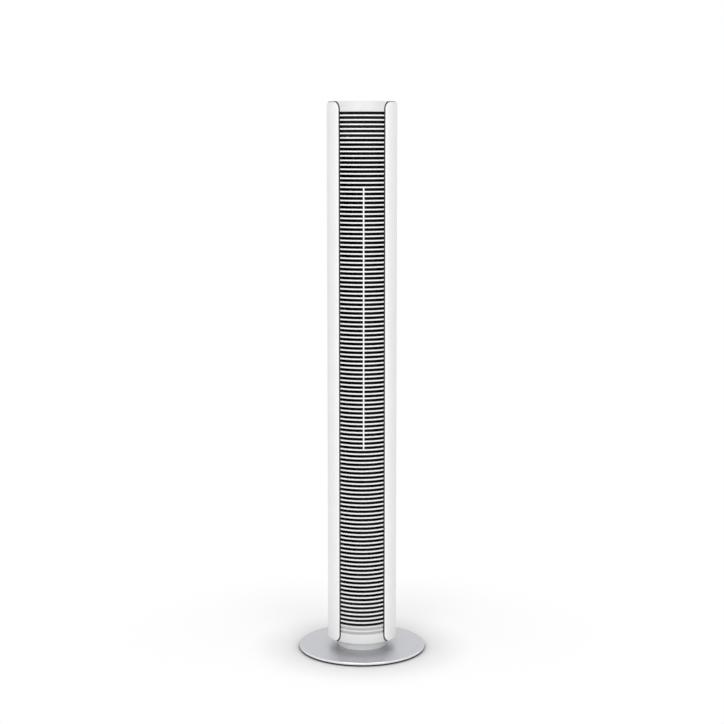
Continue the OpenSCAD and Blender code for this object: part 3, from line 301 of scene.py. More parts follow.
def tint(tree, shader, factor, first, second):
    """Let the base colour run from one colour to another with a factor."""
    tree.links.new(blend_colours(tree, factor, first, second), shader.inputs["Base Color"])


def gloss(tree, shader, factor, low, high):
    """Let the roughness vary within a range with a noise factor."""
    tree.links.new(spread(tree, factor, low, high), shader.inputs["Roughness"])


def moulded(name, colour, roughness=0.42, texture=0.35, mottle=0.012, grain=1500.0):
    """Moulded plastic: fine eroded texture, faint flow mottling and uneven gloss."""
    material, tree, shader, place = new_finish(name, colour, roughness)
    flow = spread(tree, noise(tree, place, scale=22.0, detail=2.0))
    tint(tree, shader, flow, shade(colour, -mottle), shade(colour, mottle))
    wear = noise(tree, place, scale=160.0, detail=4.0)
    gloss(tree, shader, wear, roughness - 0.04, roughness + 0.05)
    relief(tree, shader, noise(tree, place, scale=grain, detail=2.0), distance=0.04 * MM, strength=texture)
    shader.inputs["Specular IOR Level"].default_value = 0.45
    return material


def painted(name, colour, metallic=0.7):
    """Satin metallic paint on steel: orange peel, fine flake speckle and a thin clear gloss."""
    material, tree, shader, place = new_finish(name, colour, roughness=0.4, metallic=metallic)
    speckle = noise(tree, place, scale=2600.0, detail=1.0)
    drift = noise(tree, place, scale=14.0, detail=2.0)
    flakes = blend_colours(tree, spread(tree, speckle), shade(colour, -0.035), shade(colour, 0.035))
    veil = blend_colours(tree, spread(tree, drift), (0.97, 0.97, 0.975), (1, 1, 1))
    cloud = tree.nodes.new("ShaderNodeMix")
    cloud.data_type = "RGBA"
    cloud.blend_type = "MULTIPLY"
    cloud.inputs["Factor"].default_value = 0.5
    tree.links.new(flakes, cloud.inputs["A"])
    tree.links.new(veil, cloud.inputs["B"])
    tree.links.new(cloud.outputs["Result"], shader.inputs["Base Color"])
    gloss(tree, shader, noise(tree, place, scale=220.0, detail=4.0), 0.33, 0.45)
    relief(tree, shader, noise(tree, place, scale=620.0, detail=3.0), distance=0.06 * MM, strength=0.3)
    shader.inputs["Coat Weight"].default_value = 0.15
    shader.inputs["Coat Roughness"].default_value = 0.25
    return material


def rubbery(name, colour):
    """Matt rubber with a dusty bloom."""
    material, tree, shader, place = new_finish(name, colour, roughness=0.8)
    bloom = noise(tree, place, scale=90.0, detail=6.0, roughness=0.65)
    dust = 0.02
    tint(tree, shader, spread(tree, bloom), colour, tuple(c + dust for c in colour))
    gloss(tree, shader, bloom, 0.7, 0.88)
    relief(tree, shader, noise(tree, place, scale=900.0, detail=3.0), distance=0.1 * MM, strength=0.5)
    return material


def turned(name, colour, roughness=0.28, pitch=1400.0):
    """Turned metal: fine rings round the upright axis, with tarnish."""
    material, tree, shader, place = new_finish(name, colour, roughness, metallic=1.0)
    rings = tree.nodes.new("ShaderNodeTexWave")
    rings.wave_type = "BANDS"
    rings.bands_direction = "Z"
    rings.inputs["Scale"].default_value = pitch
    rings.inputs["Distortion"].default_value = 1.5
    rings.inputs["Detail"].default_value = 2.0
    tree.links.new(place, rings.inputs["Vector"])
    stain = noise(tree, place, scale=120.0, detail=5.0)
    tint(tree, shader, spread(tree, stain), shade(colour, -0.08), shade(colour, 0.04))
    gloss(tree, shader, stain, roughness - 0.06, roughness + 0.1)
    relief(tree, shader, rings.outputs["Fac"], distance=0.03 * MM, strength=0.4)
    return material


def spangled(name, colour):
    """Zinc plating with faint crystal patches."""
    material, tree, shader, place = new_finish(name, colour, roughness=0.35, metallic=1.0)
    cells = tree.nodes.new("ShaderNodeTexVoronoi")
    cells.inputs["Scale"].default_value = 900.0
    tree.links.new(place, cells.inputs["Vector"])
    grey = tree.nodes.new("ShaderNodeRGBToBW")
    tree.links.new(cells.outputs["Color"], grey.inputs["Color"])
    tint(tree, shader, grey.outputs["Val"], shade(colour, -0.07), shade(colour, 0.05))
    gloss(tree, shader, grey.outputs["Val"], 0.28, 0.42)
    relief(tree, shader, noise(tree, place, scale=1800.0, detail=2.0), distance=0.03 * MM, strength=0.3)
    return material


def cast(name, colour):
    """Die-cast metal: soft pebbling and a cloudy skin."""
    material, tree, shader, place = new_finish(name, colour, roughness=0.48, metallic=1.0)
    skin = noise(tree, place, scale=70.0, detail=5.0)
    tint(tree, shader, spread(tree, skin), shade(colour, -0.1), shade(colour, 0.03))
    gloss(tree, shader, skin, 0.42, 0.58)
    relief(tree, shader, noise(tree, place, scale=700.0, detail=4.0), distance=0.1 * MM, strength=0.45)
    return material


def sintered(name, colour):
    """Sintered bronze with open pores, their hollows painted darker as shade."""
    material, tree, shader, place = new_finish(name, colour, roughness=0.45, metallic=1.0)
    pores = tree.nodes.new("ShaderNodeTexVoronoi")
    pores.inputs["Scale"].default_value = 2200.0
    tree.links.new(place, pores.inputs["Vector"])
    depth = tree.nodes.new("ShaderNodeMapRange")
    depth.inputs["From Max"].default_value = 0.35
    tree.links.new(pores.outputs["Distance"], depth.inputs["Value"])
    # Pores painted half as bright: painted shade in the hollows.
    tint(tree, shader, depth.outputs["Result"], shade(colour, -0.5), colour)
    relief(tree, shader, depth.outputs["Result"], distance=0.08 * MM, strength=0.6)
    return material


def wound(name, colour):
    """Enamelled copper wire, laid turn on turn, with painted shade between the turns and a painted highlight
    on each crown.
    """
    material, tree, shader, place = new_finish(name, colour, roughness=0.3, metallic=0.85)
    turns = tree.nodes.new("ShaderNodeTexWave")
    turns.bands_direction = "Z"
    turns.inputs["Scale"].default_value = 420.0
    turns.inputs["Distortion"].default_value = 0.6
    tree.links.new(place, turns.inputs["Vector"])
    # Dark grooves and light crowns: painted shade and painted highlight of the round turns.
    tint(tree, shader, turns.outputs["Fac"], shade(colour, -0.55), shade(colour, 0.1))
    relief(tree, shader, turns.outputs["Fac"], distance=0.3 * MM, strength=0.9)
    shader.inputs["Coat Weight"].default_value = 0.5
    return material


def laminated(name, colour):
    """Circuit board: solder mask over copper tracks."""
    material, tree, shader, place = new_finish(name, colour, roughness=0.35)
    tracks = tree.nodes.new("ShaderNodeTexBrick")
    tracks.inputs["Scale"].default_value = 130.0
    tracks.inputs["Mortar Size"].default_value = 0.06
    tracks.inputs["Color1"].default_value = (*colour, 1)
    tracks.inputs["Color2"].default_value = (*shade(colour, 0.12), 1)
    tracks.inputs["Mortar"].default_value = (*shade(colour, 0.75), 1)
    tree.links.new(place, tracks.inputs["Vector"])
    tree.links.new(tracks.outputs["Color"], shader.inputs["Base Color"])
    gloss(tree, shader, noise(tree, place, scale=300.0), 0.28, 0.42)
    relief(tree, shader, tracks.outputs["Fac"], distance=0.05 * MM, strength=0.5)
    return material


def clear_rod(name, colour):
    """Clear light guide with a faint inner haze."""
    material, tree, shader, place = new_finish(name, colour, roughness=0.12)
    shader.inputs["Transmission Weight"].default_value = 0.75
    shader.inputs["IOR"].default_value = 1.49
    haze = noise(tree, place, scale=800.0, detail=3.0)
    tint(tree, shader, spread(tree, haze), shade(colour, -0.05), colour)
    gloss(tree, shader, haze, 0.08, 0.2)
    return material


def black_moulding():
    """Matt black plastic of the air duct and the impeller."""
    black = moulded("black moulding", (0.005, 0.005, 0.0055), roughness=0.7, texture=0.6, mottle=0.15)
    black.node_tree.nodes["Principled BSDF"].inputs["Specular IOR Level"].default_value = 0.15
    return black


def node_finishes():
    """Finishes of the pieces that keep their frame shape, by node."""
    groups = [
        (black_moulding(),
         "motor_housing duct_floor duct_roof scroll_wall tongue_wall impeller control_housing wire_loom"),
        (moulded("dark moulding", (0.03, 0.03, 0.032), roughness=0.5, texture=0.5, mottle=0.1),
         "column_floor gland_nut tact_switches"),
        (moulded("natural acetal", (0.80, 0.78, 0.72), roughness=0.3, texture=0.2, mottle=0.03),
         "swing_gear slide_ring swing_pinion"),
        (turned("turned steel", (0.56, 0.57, 0.58)),
         "pivot_tube retaining_washer retaining_ring swing_shaft motor_bearings rotor_cup drive_shaft"
         " hub_set_screw stub_axle"),
        (turned("stacked laminations", (0.36, 0.37, 0.39), roughness=0.4, pitch=320.0), "stator_core"),
        (spangled("bright zinc", (0.66, 0.66, 0.64)),
         "neck_screws pivot_screws motor_screws case_screws swing_motor"),
        (cast("die-cast aluminium", (0.62, 0.63, 0.65)), "motor_base impeller_hub"),
        (sintered("sintered bronze", (0.42, 0.28, 0.13)), "pivot_bush top_bearing"),
        (wound("enamelled copper", (0.60, 0.24, 0.08)), "stator_windings"),
        (moulded("bonded ferrite", (0.035, 0.035, 0.04), roughness=0.55, texture=0.8, mottle=0.2,
                 grain=900.0),
         "rotor_magnet"),
        (laminated("green board", (0.012, 0.09, 0.035)), "power_board control_board"),
        (moulded("terminal moulding", (0.02, 0.14, 0.20), roughness=0.4, texture=0.3, mottle=0.05),
         "terminal_block"),
        (moulded("capacitor sleeve", (0.02, 0.025, 0.09), roughness=0.22, texture=0.1, mottle=0.05),
         "filter_capacitor"),
        (rubbery("damper rubber", (0.015, 0.015, 0.015)), "motor_dampers bearing_holder"),
        (moulded("lamp moulding", (0.82, 0.81, 0.70), roughness=0.3, texture=0.1, mottle=0.04),
         "indicator_leds"),
        (clear_rod("clear guide", (0.92, 0.96, 0.98)), "light_guides"),
    ]
    return {node: material for material, nodes in groups for node in nodes.split()}


# Mesh tools


def rotate(bm, angle, axis):
    """Turn everything in bm round an axis through the origin."""
    bmesh.ops.rotate(bm, verts=bm.verts[:], cent=(0, 0, 0), matrix=Matrix.Rotation(angle, 3, axis))


def move(bm, step):
    """Move everything in bm by a vector."""
    bmesh.ops.translate(bm, verts=bm.verts[:], vec=step)


def section(inner, outer, low, high):
    """Corners of an upright rectangle, from its inner lower one."""
    return [(inner, low), (outer, low), (outer, high), (inner, high)]


def profile_face(bm, points, rounds=(), segments=3):
    """Closed face in the X-Z plane; rounds pairs a corner's index with its radius."""
    verts = [bm.verts.new((x, 0, z)) for x, z in points]
    bm.faces.new(verts)
    picked = [(verts[i], radius) for i, radius in rounds]
    for vert, radius in picked:
        bmesh.ops.bevel(
            bm, geom=[vert], offset=radius, offset_type="OFFSET", segments=segments, profile=0.5,
            affect="VERTICES", material=-1, clamp_overlap=True,
        )
    return bm.faces[:]


def turn_full(points, rounds=(), steps=128, segments=3):
    """Solid of revolution round the upright axis."""
    bm = bmesh.new()
    profile_face(bm, points, rounds, segments)
    bmesh.ops.delete(bm, geom=bm.faces[:], context="FACES_ONLY")
    bmesh.ops.spin(
        bm, geom=bm.verts[:] + bm.edges[:], cent=(0, 0, 0), axis=(0, 0, 1), angle=FULL, steps=steps,
        use_merge=True, use_duplicate=False,
    )
    bmesh.ops.remove_doubles(bm, verts=bm.verts[:], dist=TINY)
    loose = [e for e in bm.edges if e.is_wire]
    bmesh.ops.delete(bm, geom=loose, context="EDGES")
    bmesh.ops.recalc_face_normals(bm, faces=bm.faces[:])
    return bm


def turn_part(points, start, end, rounds=(), steps=12, segments=1):
    """Sector of a ring between two angles from the front, closed at both ends."""
    bm = bmesh.new()
    faces = profile_face(bm, points, rounds, segments)
    rotate(bm, FRONT + start, "Z")
    bmesh.ops.spin(
        bm, geom=faces + bm.edges[:] + bm.verts[:], cent=(0, 0, 0), axis=(0, 0, 1), angle=end - start,
        steps=steps, use_merge=False, use_duplicate=False,
    )
    bmesh.ops.recalc_face_normals(bm, faces=bm.faces[:])
    return bm


def add_to(target, source):
    """Copy one bmesh into another and free it."""
    mesh = bpy.data.meshes.new("passing")
    source.to_mesh(mesh)
    source.free()
    target.from_mesh(mesh)
    bpy.data.meshes.remove(mesh)


def repeat_at(bm, offsets):
    """Add copies of everything in bm, one at each offset from the first."""
    geom = bm.verts[:] + bm.edges[:] + bm.faces[:]
    for offset in offsets:
        made = bmesh.ops.duplicate(bm, geom=geom)
        verts = [g for g in made["geom"] if isinstance(g, bmesh.types.BMVert)]
        bmesh.ops.translate(bm, verts=verts, vec=offset)


def sharpen(bm, angle=math.radians(32)):
    """Smooth faces, with hard edges where the surface turns sharply."""
    for face in bm.faces:
        face.smooth = True
    for edge in bm.edges:
        edge.smooth = edge.is_manifold and edge.calc_face_angle(0) < angle


def piece(name, bm, body, material, slot, *nodes):
    """Object from a bmesh that rides on a body and stands for the frame's nodes."""
    sharpen(bm)
    mesh = bpy.data.meshes.new(name)
    bm.to_mesh(mesh)
    bm.free()
    mesh.materials.append(material)
    made = bpy.data.objects.new(name, mesh)
    bpy.context.scene.collection.objects.link(made)
    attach(made, body)
    if nodes:
        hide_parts(*nodes)
    return made


def carve(bm, cutters, bosses=()):
    """Join closed bosses to bm and cut closed meshes out of it; returns the result as a new bmesh."""
    objects = []
    for source in (bm, *bosses, *cutters):
        mesh = bpy.data.meshes.new("blank")
        source.to_mesh(mesh)
        source.free()
        made = bpy.data.objects.new("blank", mesh)
        bpy.context.scene.collection.objects.link(made)
        objects.append(made)
    body = objects[0]
    for i, tool in enumerate(objects[1:]):
        step = body.modifiers.new("step", "BOOLEAN")
        step.operation = "UNION" if i < len(bosses) else "DIFFERENCE"
        step.solver = "EXACT"
        step.object = tool
    graph = bpy.context.evaluated_depsgraph_get()
    result = bmesh.new()
    result.from_object(body, graph)
    bmesh.ops.remove_doubles(result, verts=result.verts[:], dist=2 * TINY)
    for made in objects:
        mesh = made.data
        bpy.data.objects.remove(made)
        bpy.data.meshes.remove(mesh)
    return result


def drill(x, y, low, high, radius, flare=0.1 * MM, flare_up=True, steps=32):
    """Cutter for an upright hole, widened at its mouth by a flare."""
    mouth = radius + flare
    over = 1 * MM
    if flare_up:
        wall = [(radius, low - over), (radius, high - flare), (mouth + over, high + over)]
    else:
        wall = [(mouth + over, low - over), (radius, low + flare), (radius, high + over)]
    bm = turn_full([(0, low - over), *wall, (0, high + over)], steps=steps)
    move(bm, (x, y, 0))
    return bm


def post(x, y, low, high, radius):
    """Upright round boss."""
    bm = turn_full(section(0, radius, low, high), steps=32)
    move(bm, (x, y, 0))
    return bm


def place_at(radius, degrees):
    """Point in plan at an angle from the front, in degrees."""
    angle = math.radians(degrees)
    return radius * math.sin(angle), -radius * math.cos(angle)


def pivot_places():
    """Places of the four pivot screws."""
    return [place_at(PIVOT_CIRCLE_R, 45 + 90 * i) for i in range(4)]


def neck_places():
    """Places of the three neck screws, none of them in front."""
    return [place_at(NECK_CIRCLE_R, 90 * i) for i in (1, 2, 3)]


def half_turn(bm):
    """Turn everything half round the upright axis, from front to rear or from right to left."""
    rotate(bm, math.pi, "Z")
    return bm


def point_to_rear(bm, height):
    """Lay an upright round piece level at a height, with its upper end to the rear."""
    rotate(bm, -math.pi / 2, "X")
    move(bm, (0, 0, height))
    return bm


def cut_flat(bm, place, normal, drop_outer=False, drop_inner=False):
    """Cut a flat shape along a plane and drop a side of it where that is asked for."""
    bmesh.ops.bisect_plane(
        bm, geom=bm.verts[:] + bm.edges[:] + bm.faces[:], dist=0.1 * TINY, plane_co=place, plane_no=normal,
        clear_outer=drop_outer, clear_inner=drop_inner,
    )


def open_middle(bm, band):
    """Leave only a band along the border of a flat face."""
    bmesh.ops.inset_region(
        bm, faces=bm.faces[:], thickness=band, depth=0, use_boundary=True, use_even_offset=True
    )
    middle = max(bm.faces, key=lambda f: f.calc_area())
    bmesh.ops.delete(bm, geom=[middle], context="FACES")


def thicken(bm, step):
    """Give a flat face its thickness along a vector."""
    made = bmesh.ops.extrude_face_region(bm, geom=bm.faces[:])
    moved = [g for g in made["geom"] if isinstance(g, bmesh.types.BMVert)]
    bmesh.ops.translate(bm, verts=moved, vec=step)
    bmesh.ops.recalc_face_normals(bm, faces=bm.faces[:])


# Pieces


def build_plate(look):
    """Round plate with its countersunk screw holes and its bright rim."""
    lower_round = 0.4 * MM
    rim_width = 2 * MM
    rim_tilt = 0.75
    bm = turn_full(
        section(0, R_PLATE, Z_PLATE, Z_NECK), rounds=[(1, lower_round), (2, look.plate_round)], steps=192,
        segments=4,
    )
    holes = [(x, y, PIVOT_HOLE_R) for x, y in pivot_places()]
    holes += [(x, y, SCREW_HOLE_R) for x, y in neck_places()]
    bm = carve(bm, [drill(x, y, Z_PLATE, Z_NECK, r, flare=r, flare_up=False) for x, y, r in holes])
    for face in bm.faces:
        outside = face.calc_center_median().xy.length > R_PLATE - rim_width
        face.material_index = int(outside and face.normal.z < rim_tilt)
    paint = painted("satin plate paint", tuple(look.plate_colour))
    made = piece("round_plate", bm, BASE, paint, "plate_paint", "base_plate")
    made.data.materials.append(turned("turned plate rim", (0.93, 0.93, 0.94), roughness=0.22, pitch=900.0))


def build_foot(look):
    """Rubber ring with a rounded tread and a groove underneath."""
    width = 12 * MM
    tread_round = 0.6 * MM
    groove_depth = 0.8 * MM
    groove_mouth = 2 * MM
    groove_root = 1.2 * MM
    inner = R_FOOT - width
    groove = (inner + R_FOOT) / 2
    points = [
        (inner, 0), (groove - groove_mouth, 0), (groove - groove_root, groove_depth),
        (groove + groove_root, groove_depth), (groove + groove_mouth, 0), (R_FOOT, 0), (R_FOOT, Z_PLATE),
        (inner, Z_PLATE),
    ]
    bm = turn_full(points, rounds=[(0, tread_round), (5, tread_round)], steps=160)
    rubber = rubbery("foot rubber", tuple(look.foot_colour))
    piece("rubber_foot", bm, BASE, rubber, "foot_rubber", "foot_ring")


def build_neck(look):
    """Fixed cup under the column, with its inner rim, bosses and screw holes."""
    wall = 2.5 * MM
    floor_t = 3 * MM
    rim_width = 8 * MM
    rim_t = 2.2 * MM
    rim_slope_to = 4.2 * MM
    rim_round = 0.4 * MM
    lower_round = 0.35 * MM
    boss_r = 3.6 * MM
    boss_tall = 4 * MM
    boss_sunk = 0.5 * MM
    rim_in = R_NECK - rim_width
    wall_in = R_NECK - wall
    floor_top = Z_NECK + floor_t
    boss_top = floor_top + boss_tall
    points = [
        (0, Z_NECK), (R_NECK, Z_NECK), (R_NECK, Z_NECK_TOP), (rim_in, Z_NECK_TOP),
        (rim_in, Z_NECK_TOP - rim_t), (wall_in, Z_NECK_TOP - rim_slope_to), (wall_in, floor_top),
        (0, floor_top),
    ]
    bm = turn_full(points, rounds=[(1, lower_round), (2, look.neck_round), (3, rim_round)], steps=144)
    bosses = [post(x, y, floor_top - boss_sunk, boss_top, boss_r) for x, y in neck_places()]
    holes = [drill(x, y, Z_NECK, boss_top, SCREW_HOLE_R) for x, y in neck_places()]
    holes += [drill(x, y, Z_NECK, floor_top, PIVOT_HOLE_R) for x, y in pivot_places()]
    bm = carve(bm, holes, bosses)
    # The neck's grey is painted shade under the column.
    white = moulded("white neck", tuple(look.shade_painted_neck_colour), roughness=0.45)
    piece("neck_cup", bm, BASE, white, "neck_white", "neck_housing")


def paint_recess_shade(bm, low, inner):
    """Give the sloping faces between the skirt's steps the second material, a darker grey that is painted
    shade in the recesses.
    """
    margin = 0.1 * MM
    skin = 0.5 * MM
    steepest = -0.05
    flattest = -0.6
    for face in bm.faces:
        middle = face.calc_center_median()
        sloping = middle.z > low - margin and flattest < face.normal.z < steepest
        face.material_index = int(sloping and inner < middle.xy.length < R_DRUM - skin)


def build_skirt(colour):
    """Closed band with two steps like slats above it, its inner flange and the gland's hole."""
    steps = 2
    flange_width = 9 * MM
    recess_low = 2.3 * MM
    recess_high = 0.7 * MM
    step_round = 0.35 * MM
    lower_round = 1.0 * MM
    gland_hole_r = 4.7 * MM
    gland_hole_from = 50 * MM
    gland_hole_to = 75 * MM
    inner = R_DRUM - DRUM_WALL
    flange = inner - flange_width
    points = [(flange, Z_COLUMN), (R_DRUM, Z_COLUMN)]
    rounds = [(1, lower_round)]
    for i in reversed(range(steps)):
        step = Z_SKIRT_TOP - i * SLAT_PITCH
        points += [
            (R_DRUM, step - SLAT_PITCH), (R_DRUM - recess_low, step - SLAT_PITCH),
            (R_DRUM - recess_high, step - SLAT_T), (R_DRUM, step - SLAT_T),
        ]
        rounds.append((len(points) - 4, step_round))
    points += [(R_DRUM, Z_SKIRT_TOP), (inner, Z_SKIRT_TOP), (inner, Z_BAY_SEAT), (flange, Z_BAY_SEAT)]
    rounds.append((len(points) - 4, step_round))
    bm = turn_full(points, rounds=rounds, steps=144)
    lo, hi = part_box("cord_gland")
    gland_hole = turn_full(section(0, gland_hole_r, gland_hole_from, gland_hole_to), steps=40)
    holes = [point_to_rear(gland_hole, (lo.z + hi.z) / 2)]
    for degrees in (20, 160, 200, 340):
        x, y = place_at(SKIRT_CIRCLE_R, degrees)
        holes.append(drill(x, y, Z_COLUMN, Z_BAY_SEAT, SCREW_HOLE_R))
    bm = carve(bm, holes)
    paint_recess_shade(bm, Z_SKIRT_TOP - steps * SLAT_PITCH, inner)
    # The skirt's white is the darker cap-and-skirt colour: painted shade.
    white = moulded("white skirt", colour, roughness=0.42)
    made = piece("stepped_skirt", bm, COLUMN, white, "white_shell", "bottom_skirt")
    # Recess faces between the steps: darker grey, painted shade.
    made.data.materials.append(moulded("painted recess shade", shade(colour, -0.34), roughness=0.5))


def upright_rib():
    """Thin upright rib across the slats, a little right of the middle."""
    slats_above = 16
    slats_crossed = 60
    aside = 3.2 * MM
    half_width = 1.3 * MM
    edge_round = 0.3 * MM
    inset = 0.1 * MM
    high = SLAT_FIRST + (SLAT_COUNT - 1 - slats_above) * SLAT_PITCH
    low = high - slats_crossed * SLAT_PITCH
    middle = math.asin(aside / R_DRUM)
    half = half_width / R_DRUM
    strip = section(R_DRUM - SLAT_DEPTH + inset, R_DRUM - inset, low, high)
    return turn_part(strip, middle - half, middle + half, rounds=[(1, edge_round), (2, edge_round)], steps=2)


def slat_wall(look, rib):
    """All slats of one window, their end rails and, on the front, the thin upright rib."""
    tongue_set = 0.2 * MM
    tongue_t = 1.2 * MM
    rail_set = 0.15 * MM
    rail_gap = 0.3 * MM
    lap = math.radians(0.6)
    inner = R_DRUM - SLAT_DEPTH
    low = SLAT_FIRST - SLAT_T / 2
    high = low + SLAT_T
    bm = turn_part(
        section(inner, R_DRUM, low, high), -SLAT_HALF, SLAT_HALF,
        rounds=[(1, look.slat_chamfer), (2, look.slat_chamfer)], steps=12,
    )
    tongue = section(inner + tongue_set, inner + tongue_set + tongue_t, low, high)
    add_to(bm, turn_part(tongue, SLAT_HALF - lap, RAIL_FROM + lap, steps=1))
    add_to(bm, turn_part(tongue, -RAIL_FROM - lap, -SLAT_HALF + lap, steps=1))
    repeat_at(bm, [(0, 0, k * SLAT_PITCH) for k in range(1, SLAT_COUNT)])
    rail = section(R_DRUM - DRUM_WALL, R_DRUM - rail_set, Z_SKIRT_TOP + rail_gap, Z_CAP - rail_gap)
    add_to(bm, turn_part(rail, RAIL_FROM, RAIL_TO, steps=2))
    add_to(bm, turn_part(rail, -RAIL_TO, -RAIL_FROM, steps=2))
    if rib:
        add_to(bm, upright_rib())
    return bm


def build_outlet_frame():
    """Thin black frame round the duct's outlet, behind the front slats."""
    half_width = 45 * MM
    band = 6.5 * MM
    thickness = 1 * MM
    gap = 0.05 * MM
    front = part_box("tongue_wall")[0].y
    low = top("duct_floor") + gap
    high = bottom("duct_roof") - gap
    bm = bmesh.new()
    bmesh.ops.create_grid(bm, x_segments=1, y_segments=1, size=0.5)
    bmesh.ops.scale(bm, verts=bm.verts[:], vec=(2 * half_width, high - low, 1))
    rotate(bm, math.pi / 2, "X")
    move(bm, (0, front - gap, (low + high) / 2))
    open_middle(bm, band)
    thicken(bm, (0, -thickness, 0))
    piece("outlet_frame", bm, COLUMN, black_moulding(), "black_plastic")


def build_slats(look):
    """Front and rear walls of slats."""
    white = moulded("white slats", tuple(look.slat_colour), roughness=0.4, texture=0.2)
    piece("front_slats", slat_wall(look, rib=True), COLUMN, white, "white_slats", "front_grille")
    piece("rear_slats", half_turn(slat_wall(look, rib=False)), COLUMN, white, "white_slats", "rear_grille")


def flat_outline(grow, corner):
    """Flat face with the side panel's outline, larger all round by a margin."""
    bm = bmesh.new()
    bmesh.ops.create_grid(bm, x_segments=1, y_segments=1, size=0.5)
    bmesh.ops.scale(bm, verts=bm.verts[:], vec=(2 * (PANEL_HALF + grow), PANEL_TALL + 2 * grow, 1))
    bmesh.ops.bevel(
        bm, geom=bm.verts[:], offset=corner + grow, offset_type="OFFSET", segments=8, profile=0.5,
        affect="VERTICES", material=-1, clamp_overlap=True,
    )
    return bm


def bend(bm, inner, half):
    """Cut a flat shape into upright strips and bend it round the column's right side."""
    for i in range(1, PANEL_STRIPS):
        cut_flat(bm, (-half + 2 * half * i / PANEL_STRIPS, 0, 0), (1, 0, 0))
    middle = (Z_PANEL_TOP + Z_COLUMN) / 2
    for vert in bm.verts:
        angle = vert.co.x / R_PANEL
        radius = inner + vert.co.z
        vert.co = (radius * math.cos(angle), radius * math.sin(angle), vert.co.y + middle)
    bmesh.ops.recalc_face_normals(bm, faces=bm.faces[:])


def panel_shadow_strip(look):
    """Thin dark strip along the right panel's border that shows as a dark line beside it: a painted shadow
    line in the gap.
    """
    shown = 2.5 * MM
    shown_above = 1.2 * MM
    width = 3.9 * MM
    thickness = 0.4 * MM
    gap = 0.04 * MM
    bm = flat_outline(shown, look.panel_corner)
    open_middle(bm, width)
    cut_flat(bm, (0, PANEL_TALL / 2 + shown_above, 0), (0, 1, 0), drop_outer=True)
    cut_flat(bm, (0, -PANEL_TALL / 2, 0), (0, 1, 0), drop_inner=True)
    thicken(bm, (0, 0, thickness))
    bend(bm, R_DRUM + gap, PANEL_HALF + shown)
    return bm


def add_hook(bm, low, high, rear):
    """Add a hook inside the right panel: a foot on the panel and a lip behind the grille's rail."""
    reach_in = 2.1 * MM
    lip_t = 1.8 * MM
    sunk = 2 * MM
    hook_in = R_DRUM - DRUM_WALL - reach_in
    foot = section(hook_in, R_PANEL - sunk, low, high)
    lip = section(hook_in, hook_in + lip_t, low, high)
    for shape, start in ((foot, HOOK_FOOT_FROM), (lip, HOOK_LIP_FROM)):
        span = (math.pi - HOOK_TO, math.pi - start) if rear else (start, HOOK_TO)
        add_to(bm, turn_part(shape, *span, steps=1))


def panel_plate(look):
    """Right side panel: a tall plate with rounded corners and edges, bent round the column."""
    inner_edge = 0.35 * MM
    hooks = 5
    hook_tall = 12 * MM
    bm = flat_outline(0, look.panel_corner)
    thicken(bm, (0, 0, PANEL_T))
    for level, size, segments in ((PANEL_T, look.panel_round, 4), (0, inner_edge, 1)):
        rim = [e for e in bm.edges if all(abs(v.co.z - level) < TINY for v in e.verts)]
        bmesh.ops.bevel(
            bm, geom=rim, offset=size, offset_type="OFFSET", segments=segments, profile=0.5,
            affect="EDGES", material=-1, clamp_overlap=True,
        )
    bend(bm, R_PANEL - PANEL_T, PANEL_HALF)
    span = Z_CAP - Z_SKIRT_TOP
    for i in range(hooks):
        low = Z_SKIRT_TOP + (i + 0.5) * span / hooks - hook_tall / 2
        for rear in (False, True):
            add_hook(bm, low, low + hook_tall, rear)
    return bm


def build_panels(look):
    """Both side panels and the dark strips beside them, which paint the shadow line in the gap."""
    white = moulded("white side panel", tuple(look.shell_colour), roughness=0.36)
    # Near-black strip material: painted shadow along the panels' edges.
    dark = rubbery("painted shadow strip", (0.012, 0.012, 0.013))
    piece("right_shell", panel_plate(look), COLUMN, white, "white_shell", "right_panel")
    piece("right_shadow_strip", panel_shadow_strip(look), COLUMN, dark, "damper_rubber")
    piece("left_shell", half_turn(panel_plate(look)), COLUMN, white, "white_shell", "left_panel")
    piece("left_shadow_strip", half_turn(panel_shadow_strip(look)), COLUMN, dark, "damper_rubber")


def build_cap(look):
    """Lid with its rounded edge, inner flange, screw bosses and the holes of buttons and lamps."""
    flange_in = 51.9 * MM
    lower_round = 0.5 * MM
    boss_r = 3.4 * MM
    boss_low = Z_CAP + 1 * MM
    boss_top = Z_CAP + 10 * MM
    button_hole_r = 6.7 * MM
    button_hole_flare = 0.35 * MM
    guide_hole_r = 1.25 * MM
    guide_hole_flare = 0.15 * MM
    wall_in = R_DRUM - CAP_WALL
    under = Z_TOP - CAP_WALL
    flange_top = Z_CAP + FLANGE_T
    points = [
        (flange_in, Z_CAP), (R_DRUM, Z_CAP), (R_DRUM, Z_TOP), (0, Z_TOP), (0, under), (wall_in, under),
        (wall_in, flange_top), (flange_in, flange_top),
    ]
    bm = turn_full(points, rounds=[(1, lower_round), (2, look.cap_round)], steps=144, segments=4)
    screws = [place_at(CAP_CIRCLE_R, degrees) for degrees in (45, 135, 225, 315)]
    bosses = [post(x, y, boss_low, boss_top, boss_r) for x, y in screws]
    holes = [drill(x, y, Z_CAP, boss_top, SCREW_HOLE_R) for x, y in screws]
    for x in BUTTONS.values():
        holes.append(drill(x, BUTTON_Y, under, Z_TOP, button_hole_r, button_hole_flare, steps=64))
        holes.append(drill(x, GUIDE_Y, under, Z_TOP, guide_hole_r, guide_hole_flare, steps=32))
    bm = carve(bm, holes, bosses)
    # The cap's white is the darker cap-and-skirt colour: painted shade.
    white = moulded("white cap", tuple(look.shade_painted_inset_colour), roughness=0.4)
    piece("lid", bm, COLUMN, white, "white_shell", "top_cap")


